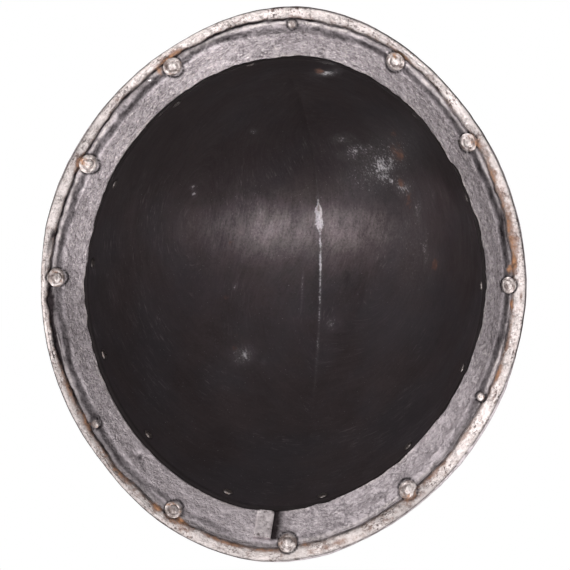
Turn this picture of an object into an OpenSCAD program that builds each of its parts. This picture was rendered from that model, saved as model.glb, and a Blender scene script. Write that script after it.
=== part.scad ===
// Musketeer helmet: a keeled skull with a stalk, set in a flaring brim with a turned edge.
// Crown up, front towards -Y, standing on the flat of the brim's turned edge at z = 0.

/* [Skull] */
// Outer width of the skull at its base
skull_w = 201; // [180:1:225]
// Outer length of the skull at its base, front to back
skull_l = 227; // [205:1:255]
// Height of the skull, from its base to the root of the stalk
skull_h = 152; // [125:1:185]
// Thickness of the skull plate
skull_plate = 1.8; // [1.4:0.1:2.6]
// How far the top of the skull stands behind the middle of its base
apex_back = 33; // [10:1:45]
// How far it stands off to the wearer's right, as the hand raised it
apex_side = 3.5; // [0:0.5:6]
// Bulge of the sides: 2 is a round dome, less is more like a pear
side_bulge = 1.6; // [1.4:0.05:2]
// Roundness of the crown: 2 is a round dome, less is more pointed
crown_bulge = 1.75; // [1.5:0.05:2]

/* [Keel and stalk] */
// Height of the keel that runs over the crown from front to back
keel_h = 4; // [1:0.5:7]
// Distance from the crest at which the keel has sunk to a third
keel_spread = 9; // [5:0.5:14]
// Angle by which the keel is turned, its front end to the wearer's right
keel_turn = 3; // [0:0.5:4]
// Height of the stalk above the keel
stalk_h = 11; // [7:0.5:16]
// Radius of the knob on the stalk
stalk_r = 3.6; // [2.8:0.1:5]
// How far the stalk leans back
stalk_lean = 4.5; // [0:0.5:8]

/* [Brim] */
// Reach of the brim past the skull at either side
brim_side = 19.5; // [18:0.5:28]
// Reach of the brim past the skull at the front and at the rear
brim_end = 22.5; // [20:0.5:28]
// Height of the crease, where the brim turns up into its collar
brim_drop = 15.5; // [14:0.5:22]
// Thickness of the brim plate
brim_plate = 1.6; // [1.2:0.1:2.2]
// Height of the collar that laps the base of the skull
collar_h = 17; // [14:0.5:22]
// Gap between the collar and the skull
lap_gap = 0.2; // [0.15:0.05:0.4]
// Width of the turned edge, seen from below
hem_w = 5.4; // [4.5:0.1:5.7]
// Angle by which the oval plan is turned, its front end to the wearer's left
oval_turn = 5; // [2:0.5:8]

/* [Brim rivets] */
// Distance of the rivets from the edge of the brim
rivet_inset = 8.4; // [8.4:0.1:9]
// Radius of a brim rivet's shank
rivet_r = 1.9; // [1.4:0.1:2.3]
// Radius of a brim rivet's domed head
rivet_head_r = 3.7; // [3:0.1:4]
// Radius of the round plate under a rivet's hammered end
rove_r = 4.75; // [4:0.05:5]
// Thickness of that plate
rove_t = 1; // [0.7:0.1:1.2]

/* [Base rivets] */
// Radius of a base rivet's shank
base_rivet_r = 1.5; // [1.1:0.1:2]
// Radius of a base rivet's domed head
base_head_r = 4; // [3:0.1:5]
// Radius of a base rivet's hammered end
base_end_r = 2.6; // [2.2:0.1:3.2]
// Height of the base rivets above the base of the skull
base_rivet_z = 8; // [7:0.5:11]

/* [Strap] */
// Width of the iron strap that lies across the inside of the brim
strap_w = 8.6; // [6:0.2:12]
// Thickness of the strap
strap_t = 1.3; // [0.8:0.1:2]
// Bearing of the strap in degrees, counted from the wearer's left
strap_bearing = 274; // [273:0.5:278]

/* [Hidden] */
$fn = 48;
// Bearings of the rivets as the hand set them, counted from the wearer's left
brim_bearings = [1, 33, 62.5, 92, 119, 143, 179, 210, 237, 267, 297, 323];
base_bearings = [5, 30, 58, 80, 101, 129, 155, 181, 207, 233, 259, 286, 312, 337];
// Numbers of the brim rivets that have lost their round plate
bare_rivets = [4, 8, 12];
roved_rivets = [for (i = [1:len(brim_bearings)]) if (!is_in(i, bare_rivets)) i];

// Squareness of the two plans: 2 is an ellipse, less is more pointed
skull_square = 1.91;
brim_square = 1.87;
// Columns of points round the shells, drawn closer together beside the keel
columns = 72;
column_bunching = 11.5;
// Rows of points between the collar and the top of the skull
crown_rows = 18;
// Steps of the profile at which the keel starts, and over which it grows to its full height
keel_start = 14;
keel_run = 34;
// Clearances: round a rivet's shank, under a head or a round plate, inside the skull and over the strap
shank_gap = 0.12;
seat_gap = 0.2;
end_gap = 0.45;
strap_gap = 0.3;
// Height of the skull's lower edge above the crease
edge_lift = 0.7;
// The land beside the turned edge: its height, and how far in from the edge it ends
land_z = 3.5;
land_end = 8.4;
// Slope of the flare between the land and the crease
flare_slope = 38;
// Tilt of the brim rivets, square to the hollow that their round plates cover
rivet_tilt = 28;
// Heights of a rivet's head: its straight rim, then the dome on it
head_rim = 0.6;
base_head_h = 2.2;
brim_head_h = 2.1;
// Hammered ends: their heights, and how far a brim rivet's end spreads past its shank
base_end_h = 0.9;
brim_end_h = 1.3;
brim_end_spread = 0.6;
// How far a hole is cut to either side of the plate it goes through
hole_reach = 10;
// Corners of the strap, and how far it runs in past the crease
strap_corner = 2.4;
strap_over = 0.9;

skull_a = skull_w / 2;
skull_b = skull_l / 2;
brim_a = skull_a + brim_side;
brim_b = skull_b + brim_end;
crease_a = skull_a + lap_gap;
crease_b = skull_b + lap_gap;
base_z = brim_drop + edge_lift;
apex = [-apex_side, apex_back];
// Steps of the skull's profile at its base, at the middle and at the top of the collar, then on to the top
collar_steps = [0, climb_of(collar_h / 2), climb_of(collar_h)];
last_step = 86.5;
skull_steps = concat(collar_steps,
    [for (i = [1:crown_rows]) collar_steps[2] + (last_step - collar_steps[2]) * i / crown_rows]);
// Turn of the columns that brings two of them onto the crest of the keel
crest_turn = atan(pow(skull_b / skull_a * tan(oval_turn + keel_turn), skull_square / 2));
angles = [for (i = [0:columns - 1]) let (s = i * 360 / columns) s + column_bunching * sin(2 * s) - crest_turn];
// Middle of a brim rivet's hole on the lower side of the brim
rivet_z = land_z - seat_gap + (rivet_inset - land_end) * tan(rivet_tilt);

function is_in(v, list) = len([for (item = list) if (item == v) item]) > 0;
function numbered(stem, i) = str(stem, i < 10 ? "0" : "", i);
function smooth(v) = let (c = max(0, min(1, v))) c * c * (3 - 2 * c);
function power(v, e) = sign(v) * pow(abs(v), e);

// Plans

// A point of an oval with half-width a and half-length b
function oval(t, a, b, square) = let (x = a * power(cos(t), 2 / square), y = b * power(sin(t), 2 / square))
    [x * cos(oval_turn) - y * sin(oval_turn), x * sin(oval_turn) + y * cos(oval_turn)];
// The direction straight out of an oval
function outward(t, a, b, square) =
    let (x = power(cos(t), 2 - 2 / square) / a, y = power(sin(t), 2 - 2 / square) / b, d = norm([x, y]))
    [x * cos(oval_turn) - y * sin(oval_turn), x * sin(oval_turn) + y * cos(oval_turn)] / d;
// The angle whose point on an oval lies on a bearing
function at_bearing(bearing, a, b) = atan2(a * sin(bearing - oval_turn), b * cos(bearing - oval_turn));

// Skull profile: step 0 is the base and step 90 the apex

function climb_of(h) = asin(pow(h / skull_h, side_bulge / 2));
function climb(u) = pow(sin(u), 2 / side_bulge);
function girth(u) = pow(cos(u), 2 / crown_bulge);
function keel(u) = keel_h * smooth((u - keel_start) / keel_run);

// A point of the skull's skin, inset from the outer one
function skull_point(t, u, inset) =
    let (plan = oval(t, skull_a - inset, skull_b - inset, skull_square),
         reach = norm(plan),
         rise = (skull_h - inset) * (climb(u + 0.5) - climb(u - 0.5 < 0 ? 0 : u - 0.5)),
         fall = reach * (girth(u - 0.5 < 0 ? 0 : u - 0.5) - girth(u + 0.5)),
         from_crest = abs(plan.x * cos(keel_turn) - plan.y * sin(keel_turn)) * girth(u),
         lift = keel(u) * exp(-from_crest / keel_spread) / norm([rise, fall]),
         place = plan * (girth(u) + rise * lift / reach) + apex * climb(u))
    [place.x, place.y, base_z + (skull_h - inset) * climb(u) + fall * lift];
function skull_ring(u, inset) = [for (t = angles) skull_point(t, u, inset)];

// Rings above the apex: half-width, half-length, height over the keel and lean
top_z = base_z + skull_h + keel_h;
stalk_rings = [
    [stalk_r * 1.35, stalk_r * 1.5, -0.5, 0],
    [stalk_r * 0.95, stalk_r * 1.05, stalk_h * 0.16, 0.05],
    [stalk_r * 0.72, stalk_r * 0.78, stalk_h * 0.42, 0.3],
    [stalk_r * 0.95, stalk_r * 0.95, stalk_h * 0.66, 0.6],
    [stalk_r, stalk_r, stalk_h * 0.8, 0.78],
    [stalk_r * 0.72, stalk_r * 0.72, stalk_h * 0.94, 0.94],
    [0.05, 0.05, stalk_h, 1]];
// The narrow pit that the stalk leaves inside the crown
pit_rings = [
    [stalk_r * 0.7, stalk_r * 1.35, -skull_plate - 0.3, 0],
    [stalk_r * 0.4, stalk_r * 0.85, stalk_h * 0.05, 0.02],
    [stalk_r * 0.22, stalk_r * 0.5, stalk_h * 0.15, 0.05],
    [0.05, 0.05, stalk_h * 0.2, 0.07]];
function apex_ring(r) = [for (t = angles)
    let (side = r.x * cos(t + crest_turn), along = stalk_lean * r[3] + r.y * sin(t + crest_turn))
    [apex.x + side * cos(keel_turn) + along * sin(keel_turn),
     apex.y - side * sin(keel_turn) + along * cos(keel_turn), top_z + r.z]];

// Surfaces through rows of points

function flat(rows) = [for (row = rows) for (p = row) p];
// Two triangles for each cell between two rows, for rows that run one after the other
function row_faces(rows, per_row, closed) = [
    for (r = [0:rows - (closed ? 1 : 2)]) for (i = [0:per_row - 1])
        let (j = (i + 1) % per_row, s = (r + 1) % rows,
             a = r * per_row + i, b = r * per_row + j, c = s * per_row + i, d = s * per_row + j)
        each [[a, c, b], [b, c, d]]];

module skull() {
    outer = concat([for (u = skull_steps) skull_ring(u, 0)], [for (r = stalk_rings) apex_ring(r)]);
    inner = concat([for (u = skull_steps) skull_ring(u, skull_plate)], [for (r = pit_rings) apex_ring(r)]);
    rows = concat([for (i = [len(inner) - 1:-1:0]) inner[i]], outer);
    last = len(rows) * columns;
    caps = [
        [for (i = [0:columns - 1]) i],
        [for (i = [columns - 1:-1:0]) last - columns + i]];
    color("#3b3433") difference() {
        polyhedron(flat(rows), concat(row_faces(len(rows), columns, false), caps), convexity = 8);
        for (bearing = base_bearings) base_axis(bearing) shank_hole(base_rivet_r);
    }
}

// Brim section: each point is measured inward from the edge or outward from the crease, then up.
// The points of the flare also have a slope, across which the plate's thickness is laid off.

hem = [["edge", 0, 1.9], ["edge", 0.45, 0.55], ["edge", 1.1, 0], ["edge", 2.2, 0], ["edge", hem_w - 2, 1.05],
    ["edge", hem_w, 2.1], ["edge", hem_w + 0.4, land_z - 0.35], ["edge", hem_w + 1.4, land_z - 0.4]];
flare = [["edge", land_end, land_z, 30], ["edge", land_end + 1.1, land_z + 1.4, 48],
    ["edge", land_end + 2.9, land_z + 2.9, flare_slope], ["crease", 4.6, brim_drop - 3.5, flare_slope],
    ["crease", 0.5, brim_drop - 0.5, 50]];
crease_lip = ["crease", 0, brim_drop + 0.3];
flare_top = [for (i = [len(flare) - 1:-1:0]) let (p = flare[i], out = p[0] == "edge" ? -1 : 1)
    [p[0], p[1] + out * brim_plate * sin(p[3]), p[2] + brim_plate * cos(p[3])]];
collar_foot = [["crease", brim_plate + 0.1, flare_top[0][2] + 1.2]];
hem_top = [for (p = [[5.7, -0.4], [3.5, -0.85], [1.5, -1.5], [0.4, -2.2]])
    ["edge", p.x, land_z + brim_plate + p.y]];
lower_side = concat(hem, flare, [crease_lip]);
upper_side = concat(collar_foot, flare_top, hem_top);
// A place of the section as a brim rivet sees it: across its axis towards the skull, then up along it
function seen_from_rivet(p) = let (in = p[1] - rivet_inset, up = p[2] - rivet_z)
    [in * cos(rivet_tilt) + up * sin(rivet_tilt), up * cos(rivet_tilt) - in * sin(rivet_tilt)];
// Rise along a brim rivet from its hole's middle to its head, which rests on the flare or on the turned edge
flare_foot = seen_from_rivet(flare_top[2]);
flare_steep = atan2(flare[3][2] - flare[2][2], min(brim_side, brim_end) - lap_gap - flare[3][1] - flare[2][1]);
head_rise = seat_gap + max(seen_from_rivet(hem_top[0]).y,
    flare_foot.y + max(0, rivet_head_r - flare_foot.x) * tan(flare_steep - rivet_tilt));

function brim_point(t, p) =
    let (edge = oval(t, brim_a, brim_b, brim_square), crease = oval(t, crease_a, crease_b, skull_square),
         way = (crease - edge) / norm(crease - edge),
         plan = p[0] == "edge" ? edge + way * p[1] : crease - way * p[1])
    [plan.x, plan.y, p[2]];
// A point of the collar, outside the skull by gap
function collar_point(t, u, gap) = let (p = oval(t, skull_a + gap, skull_b + gap, skull_square))
    [p.x * girth(u) + apex.x * climb(u), p.y * girth(u) + apex.y * climb(u), base_z + skull_h * climb(u)];

module brim() {
    rows = concat(
        [for (p = lower_side) [for (t = angles) brim_point(t, p)]],
        [for (u = collar_steps) [for (t = angles) collar_point(t, u, lap_gap)]],
        [for (i = [2:-1:1]) [for (t = angles) collar_point(t, collar_steps[i], lap_gap + brim_plate)]],
        [for (p = upper_side) [for (t = angles) brim_point(t, p)]]);
    color("#a79f9f") difference() {
        polyhedron(flat(rows), row_faces(len(rows), columns, true), convexity = 10);
        for (bearing = base_bearings) base_axis(bearing) shank_hole(base_rivet_r);
        for (bearing = brim_bearings) brim_axis(bearing) shank_hole(rivet_r);
    }
}

// Rivets

// Puts its children on a base rivet's axis, with z pointing out of the skull
module base_axis(bearing) {
    t = at_bearing(bearing, skull_a, skull_b);
    u = climb_of(base_rivet_z);
    out = outward(t, skull_a, skull_b, skull_square);
    lean = atan2(skull_point(t, u - 1, 0).x * out.x + skull_point(t, u - 1, 0).y * out.y
        - skull_point(t, u + 1, 0).x * out.x - skull_point(t, u + 1, 0).y * out.y,
        skull_point(t, u + 1, 0).z - skull_point(t, u - 1, 0).z);
    translate(skull_point(t, u, 0)) rotate([0, 90 - lean, atan2(out.y, out.x)]) children();
}

// Puts its children on a brim rivet's axis, with z pointing up and out of the brim
module brim_axis(bearing) {
    t = at_bearing(bearing, brim_a, brim_b);
    out = outward(t, brim_a, brim_b, brim_square);
    place = oval(t, brim_a, brim_b, brim_square) - out * rivet_inset;
    translate([place.x, place.y, rivet_z]) rotate([0, rivet_tilt, atan2(out.y, out.x)]) children();
}

module shank_hole(r) {
    translate([0, 0, -hole_reach]) cylinder(r = r + shank_gap, h = 2 * hole_reach);
}

// A low dome of radius r and height h, standing on z = 0
module dome(r, h) {
    ball = (r * r + h * h) / (2 * h);
    rotate_extrude() intersection() {
        translate([0, h - ball]) circle(r = ball, $fn = 96);
        square([r, h]);
    }
}

// A rivet's head, standing on z = 0
module head(r, h) {
    cylinder(r = r, h = head_rim);
    translate([0, 0, head_rim]) dome(r, h);
}

module base_rivet(bearing) {
    over = lap_gap + brim_plate + seat_gap;
    under = skull_plate + end_gap;
    color("#6d6462") base_axis(bearing) {
        translate([0, 0, over]) head(base_head_r, base_head_h);
        translate([0, 0, -under]) cylinder(r = base_rivet_r, h = under + over);
        translate([0, 0, -under]) mirror([0, 0, 1]) dome(base_end_r, base_end_h);
    }
}

module brim_rivet(i) {
    under = is_in(i, bare_rivets) ? 0 : rove_t + shank_gap;
    color("#8b8280") brim_axis(brim_bearings[i - 1]) {
        translate([0, 0, head_rise]) head(rivet_head_r, brim_head_h);
        translate([0, 0, -under]) cylinder(r = rivet_r, h = under + head_rise);
        translate([0, 0, -under]) mirror([0, 0, 1]) dome(rivet_r + brim_end_spread, brim_end_h);
    }
}

module rove(i) {
    color("#b3a79f") brim_axis(brim_bearings[i - 1]) difference() {
        translate([0, 0, -rove_t]) cylinder(r = rove_r, h = rove_t);
        shank_hole(rivet_r);
    }
}

// Strap

// A plate that follows the flare from just above the land to the crease, on its lower side
module brim_strap() {
    t = at_bearing(strap_bearing, brim_a, brim_b);
    edge = brim_point(t, ["edge", 0, 0]);
    way = brim_point(t, ["crease", 0, 0]) - edge;
    reach = norm(way);
    fall = [sin(flare_slope), -cos(flare_slope)];
    line = [for (p = [for (i = [1:len(flare) - 1]) flare[i]]) [p[0] == "edge" ? p[1] : reach - p[1], p[2]]];
    start = (line[0] + line[1]) / 2;
    face = [for (p = [start, line[1], line[2], line[3]]) p + strap_gap * fall];
    color("#9c9594") translate([edge.x, edge.y, 0]) rotate([0, 0, atan2(way.y, way.x)])
        intersection() {
            rotate([90, 0, 0]) translate([0, 0, -strap_w / 2]) linear_extrude(strap_w)
                polygon(concat(face, [for (i = [len(face) - 1:-1:0]) face[i] + strap_t * fall]));
            linear_extrude(top_z) strap_plan(reach);
        }
}

// Straight sides and two rounded corners at the inner end
module strap_plan(reach) {
    length = reach + strap_over;
    square([2 * (length - strap_corner), strap_w], center = true);
    square([2 * length, strap_w - 2 * strap_corner], center = true);
    for (side = [-1, 1]) translate([length - strap_corner, side * (strap_w / 2 - strap_corner)])
        circle(r = strap_corner);
}

skull();
brim();
brim_strap();
for (i = [1:len(base_bearings)])
    base_rivet(base_bearings[i - 1]);
for (i = [1:len(brim_bearings)])
    brim_rivet(i);
for (i = roved_rivets)
    rove(i);
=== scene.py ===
"""Finish and detail of a musketeer helmet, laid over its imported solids."""
import logging
import math
from dataclasses import dataclass, field
from enum import Enum

import bpy
import numpy as np
from mathutils import Matrix, Vector


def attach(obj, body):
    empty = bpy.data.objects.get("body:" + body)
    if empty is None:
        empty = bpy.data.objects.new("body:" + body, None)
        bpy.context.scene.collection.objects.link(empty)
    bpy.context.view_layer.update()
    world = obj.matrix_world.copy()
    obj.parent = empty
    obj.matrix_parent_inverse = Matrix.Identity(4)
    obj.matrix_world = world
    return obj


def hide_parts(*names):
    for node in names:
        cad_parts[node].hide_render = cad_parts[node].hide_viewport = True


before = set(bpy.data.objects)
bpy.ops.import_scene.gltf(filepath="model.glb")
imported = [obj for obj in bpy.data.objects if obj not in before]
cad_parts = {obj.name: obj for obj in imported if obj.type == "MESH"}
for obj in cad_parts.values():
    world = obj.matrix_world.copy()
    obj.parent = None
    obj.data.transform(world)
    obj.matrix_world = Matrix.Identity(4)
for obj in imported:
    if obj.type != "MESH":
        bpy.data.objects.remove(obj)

LOG = logging.getLogger("helmet")
MM = 0.001
Array = np.ndarray
Colour = tuple[float, float, float]
Triple = tuple[float, float, float]


# Numbers that both plates share


def power(value: Array, exponent: float) -> Array:
    """Raises the size of a value to a power and keeps its sign."""
    return np.sign(value) * np.abs(value) ** exponent


def smooth(value: Array) -> Array:
    """Eases a value from 0 to 1."""
    c = np.clip(value, 0.0, 1.0)
    return c * c * (3.0 - 2.0 * c)


def hill(value: Array, middle: float, width: float) -> Array:
    """A bell of height 1 round the middle, sunk to a third at the width."""
    return np.exp(-((value - middle) / width) ** 2)


def apart(one: Array, other: Array) -> Array:
    """The difference of two bearings, from -180 to 180 degrees."""
    return (one - other + 180.0) % 360.0 - 180.0


def around(bearing: Array, marks: tuple[tuple[float, float], ...]) -> Array:
    """Follows marks set round the helmet.

    Args:
        bearing: bearings in degrees.
        marks: pairs of a bearing and the value there.

    Returns:
        The value at each bearing, on straight lines between neighbouring marks.
    """
    rows = sorted((b % 360.0, v) for b, v in marks)
    xs, ys = np.array(rows).T
    return np.interp(np.asarray(bearing) % 360.0, xs, ys, period=360.0)


def spotted(mark: Array, x: Array, y: Array, spots: tuple[tuple[float, ...], ...],
            rough: Array) -> Array:
    """Raises a mark where spots lie.

    Args:
        mark: the mark so far.
        x: places across.
        y: places along.
        spots: x, y, half-width, half-length and strength of each spot.
        rough: what a spot's strength is multiplied by at each place.

    Returns:
        The larger of the mark and the strongest spot at each place.
    """
    for across, along, wide, long, strength in spots:
        spot = strength * hill(x, across, wide) * hill(y, along, long)
        mark = np.maximum(mark, spot * rough)
    return mark


class Grain:
    """Smooth noise in three dimensions, the same on each run."""

    SIDE = 48
    LAYER_SHIFT = 7.3

    def __init__(self, seed: int) -> None:
        """Fills the lattice from a seed."""
        self.lattice = np.random.default_rng(seed).random((self.SIDE,) * 3) * 2.0 - 1.0

    def at(self, places: Array, scale: float) -> Array:
        """The noise, from -1 to 1, at places whose last axis holds x, y and z.

        Args:
            places: places in millimetres.
            scale: the width of a cell.

        Returns:
            One number a place.
        """
        cell = places / scale
        low = np.floor(cell)
        part = smooth(cell - low)
        low = low.astype(int)
        total = np.zeros(places.shape[:-1])
        for corner in range(8):
            step = [(corner >> k) & 1 for k in range(3)]
            at = [(low[..., k] + step[k]) % self.SIDE for k in range(3)]
            weight = 1.0
            for k in range(3):
                weight = weight * (part[..., k] if step[k] else 1.0 - part[..., k])
            total = total + weight * self.lattice[at[0], at[1], at[2]]
        return total

    def rough(self, places: Array, scale: float, layers: int = 3) -> Array:
        """Layers of the noise, each half as wide and half as high as the last."""
        return sum(self.at(places + self.LAYER_SHIFT * n, scale / 2 ** n) / 2 ** n
                   for n in range(layers))


@dataclass(frozen=True)
class HelmetForm:
    """The helmet's sizes in millimetres and degrees, as in the source of its solids."""

    skull_w: float = 201.0
    skull_l: float = 227.0
    skull_h: float = 152.0
    skull_plate: float = 1.8
    apex_back: float = 33.0
    apex_side: float = 3.5
    side_bulge: float = 1.6
    crown_bulge: float = 1.75
    keel_h: float = 4.0
    keel_spread: float = 9.0
    keel_turn: float = 3.0
    keel_start: float = 14.0
    keel_run: float = 34.0
    stalk_h: float = 11.0
    stalk_r: float = 3.6
    stalk_lean: float = 4.5
    brim_side: float = 19.5
    brim_end: float = 22.5
    brim_drop: float = 15.5
    brim_plate: float = 1.6
    collar_h: float = 17.0
    lap_gap: float = 0.2
    edge_lift: float = 0.7
    oval_turn: float = 5.0
    land_z: float = 3.5
    land_end: float = 8.4
    skull_square: float = 1.91
    brim_square: float = 1.87
    last_step: float = 86.5
    slope_step: float = 0.5

    @property
    def base_z(self) -> float:
        """Height of the skull's lower edge."""
        return self.brim_drop + self.edge_lift

    @property
    def top_z(self) -> float:
        """Height of the keel at the root of the stalk."""
        return self.base_z + self.skull_h + self.keel_h

    @property
    def crest_turn(self) -> float:
        """The angle, in radians, by which the crest's column leads the plan's long axis."""
        lead = math.tan(math.radians(self.oval_turn + self.keel_turn))
        return math.atan((self.skull_l / self.skull_w * lead) ** (self.skull_square / 2))

    def share(self, z: Array) -> Array:
        """Share of the skull's height that lies below a height."""
        return (z - self.base_z) / self.skull_h

    def oval(self, t: Array, grow: float, brim: bool = False) -> Array:
        """Points of the skull's or the brim's plan at angles t, grown by a distance.

        Args:
            t: angles in degrees.
            grow: the distance, in millimetres.
            brim: the brim's edge instead of the skull's base.

        Returns:
            X and Y of each point.
        """
        a, b = self.skull_w / 2 + grow, self.skull_l / 2 + grow
        square = self.skull_square
        if brim:
            a, b, square = a + self.brim_side, b + self.brim_end, self.brim_square
        x = a * power(np.cos(np.radians(t)), 2 / square)
        y = b * power(np.sin(np.radians(t)), 2 / square)
        turn = math.radians(self.oval_turn)
        return np.stack([x * math.cos(turn) - y * math.sin(turn),
                         x * math.sin(turn) + y * math.cos(turn)], -1)

    def outward(self, t: float, brim: bool) -> Array:
        """The direction straight out of a plan at angle t.

        Args:
            t: the angle in degrees.
            brim: the brim's edge instead of the skull's base.

        Returns:
            The unit direction.
        """
        near = self.oval(np.array([t - 0.05, t + 0.05]), 0.0, brim)
        along = near[1] - near[0]
        return np.array([along[1], -along[0]]) / np.hypot(*along)

    def angle_at(self, bearing: float, brim: bool) -> float:
        """The angle whose point on a plan lies near a bearing.

        Args:
            bearing: the bearing in degrees.
            brim: the brim's edge instead of the skull's base.

        Returns:
            The angle in degrees.
        """
        a = self.skull_w / 2 + (self.brim_side if brim else 0.0)
        b = self.skull_l / 2 + (self.brim_end if brim else 0.0)
        turned = math.radians(bearing - self.oval_turn)
        return math.degrees(math.atan2(a * math.sin(turned), b * math.cos(turned)))

    def climb(self, u: Array) -> Array:
        """Share of the skull's height reached at step u of its profile."""
        return np.sin(np.radians(np.maximum(u, 0.0))) ** (2 / self.side_bulge)

    def climb_of(self, height: float) -> float:
        """The step of the profile at a height above the skull's base."""
        return math.degrees(math.asin((height / self.skull_h) ** (self.side_bulge / 2)))

    def girth(self, u: Array) -> Array:
        """Share of the skull's plan left at step u of its profile."""
        return np.cos(np.radians(np.maximum(u, 0.0))) ** (2 / self.crown_bulge)

    def crest_distance(self, x: Array, y: Array) -> Array:
        """Distance to the keel's line in plan, for places counted from the apex line."""
        turn = math.radians(self.keel_turn)
        return x * math.cos(turn) - y * math.sin(turn)

    def skin(self, t: Array, u: Array, inset: float) -> Array:
        """Points of the skull's skin.

        Args:
            t: angles of the columns.
            u: steps of the profile, one a row.
            inset: distance in from the outer skin.

        Returns:
            Points with one row a step and one column an angle.
        """
        plan = self.oval(t, -inset)[None, :, :]
        u = np.asarray(u, float)[:, None]
        reach = np.hypot(plan[..., 0], plan[..., 1])
        height = self.skull_h - inset
        rise = height * (self.climb(u + self.slope_step) - self.climb(u - self.slope_step))
        fall = reach * (self.girth(u - self.slope_step) - self.girth(u + self.slope_step))
        keel = self.keel_h * smooth((u - self.keel_start) / self.keel_run)
        off = np.abs(self.crest_distance(plan[..., 0], plan[..., 1])) * self.girth(u)
        lift = keel * np.exp(-off / self.keel_spread) / np.hypot(rise, fall)
        grow = self.girth(u) + rise * lift / reach
        climb = self.climb(u)
        return np.stack([plan[..., 0] * grow - self.apex_side * climb,
                         plan[..., 1] * grow + self.apex_back * climb,
                         self.base_z + height * climb + fall * lift], -1)

    def apex_ring(self, t: Array, half_w: float, half_l: float, lean: float,
                  height: float) -> Array:
        """A ring round the apex, its long axis along the keel.

        Args:
            t: angles of the columns.
            half_w: half its width.
            half_l: half its length.
            lean: how far back it lies.
            height: its height.

        Returns:
            One point a column.
        """
        turned = np.radians(t) + self.crest_turn
        side, along = half_w * np.cos(turned), half_l * np.sin(turned) + lean
        k = math.radians(self.keel_turn)
        return np.stack([-self.apex_side + side * math.cos(k) + along * math.sin(k),
                         self.apex_back - side * math.sin(k) + along * math.cos(k),
                         np.full_like(side, height)], -1)


FORM = HelmetForm()
BRIM_BEARINGS = (1, 33, 62.5, 92, 119, 143, 179, 210, 237, 267, 297, 323)
BASE_BEARINGS = (5, 30, 58, 80, 101, 129, 155, 181, 207, 233, 259, 286, 312, 337)
BARE_RIVETS = (4, 8, 12)
RIVET_INSET = 8.4
RIVET_TILT = 28.0


def resample(rows: Array, steps: list[int]) -> Array:
    """Lays more rows between given rows, on curves through them.

    Args:
        rows: the given rows; the first axis runs from row to row.
        steps: how many new rows each span becomes.

    Returns:
        All rows, the first and the last given ones included.
    """
    padded = np.concatenate([2 * rows[:1] - rows[1:2], rows, 2 * rows[-1:] - rows[-2:-1]])
    out = []
    for i, count in enumerate(steps):
        p0, p1, p2, p3 = padded[i:i + 4]
        for k in range(count):
            s = k / count
            out.append(0.5 * (2 * p1 + (p2 - p0) * s + (2 * p0 - 5 * p1 + 4 * p2 - p3) * s ** 2
                              + (3 * p1 - p0 - 3 * p2 + p3) * s ** 3))
    out.append(rows[-1])
    return np.array(out)


def divide(rows: Array, steps: list[int]) -> Array:
    """Lays more rows between given rows, on straight lines.

    Args:
        rows: the given rows; the first axis runs from row to row.
        steps: how many new rows each span becomes.

    Returns:
        All rows, the first and the last given ones included.
    """
    out = [rows[i] + (rows[i + 1] - rows[i]) * k / count
           for i, count in enumerate(steps) for k in range(count)]
    return np.array(out + [rows[-1]])


def relax(rows: Array, passes: int, held: list[int]) -> Array:
    """Evens out a line of rows, apart from the held ones.

    Args:
        rows: the rows; the first axis runs from row to row.
        passes: how often each row moves towards its neighbours' middle.
        held: numbers of the rows that stay, besides the first and the last.

    Returns:
        The rows after all passes.
    """
    move = np.ones(len(rows))
    move[held] = 0.0
    move = move[1:-1].reshape((-1,) + (1,) * (rows.ndim - 1))
    for _ in range(passes):
        middle = (rows[:-2] + 2 * rows[1:-1] + rows[2:]) / 4
        rows = rows.copy()
        rows[1:-1] += move * (middle - rows[1:-1])
    return rows


def section(stations: list[tuple[Array | float, Array | float]], like: Array) -> Array:
    """Rows of a section, from stations whose place and height are one number or one a column."""
    return np.array([np.stack(np.broadcast_arrays(place, height, like)[:2], -1)
                     for place, height in stations])


def grid_normals(points: Array) -> Array:
    """Unit directions square to a grid of points that closes round its columns.

    Args:
        points: the grid, one row after the other.

    Returns:
        One direction a point.
    """
    wrapped = np.concatenate([points[:, -1:], points, points[:, :1]], axis=1)
    round_way = (wrapped[:, 2:] - wrapped[:, :-2]) / 2
    row_way = np.gradient(points, axis=0)
    out = np.cross(row_way, round_way)
    return out / np.maximum(np.linalg.norm(out, axis=-1, keepdims=True), 1e-9)


def grid_faces(rows: int, columns: int, closed: bool) -> list[tuple[int, ...]]:
    """Four-sided faces between rows of points that close round their columns.

    Args:
        rows: how many rows.
        columns: how many columns.
        closed: whether the last row joins the first.

    Returns:
        The corners of each face.
    """
    faces = []
    for r in range(rows if closed else rows - 1):
        s = (r + 1) % rows
        for i in range(columns):
            j = (i + 1) % columns
            faces.append((r * columns + i, s * columns + i, s * columns + j, r * columns + j))
    return faces


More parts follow.
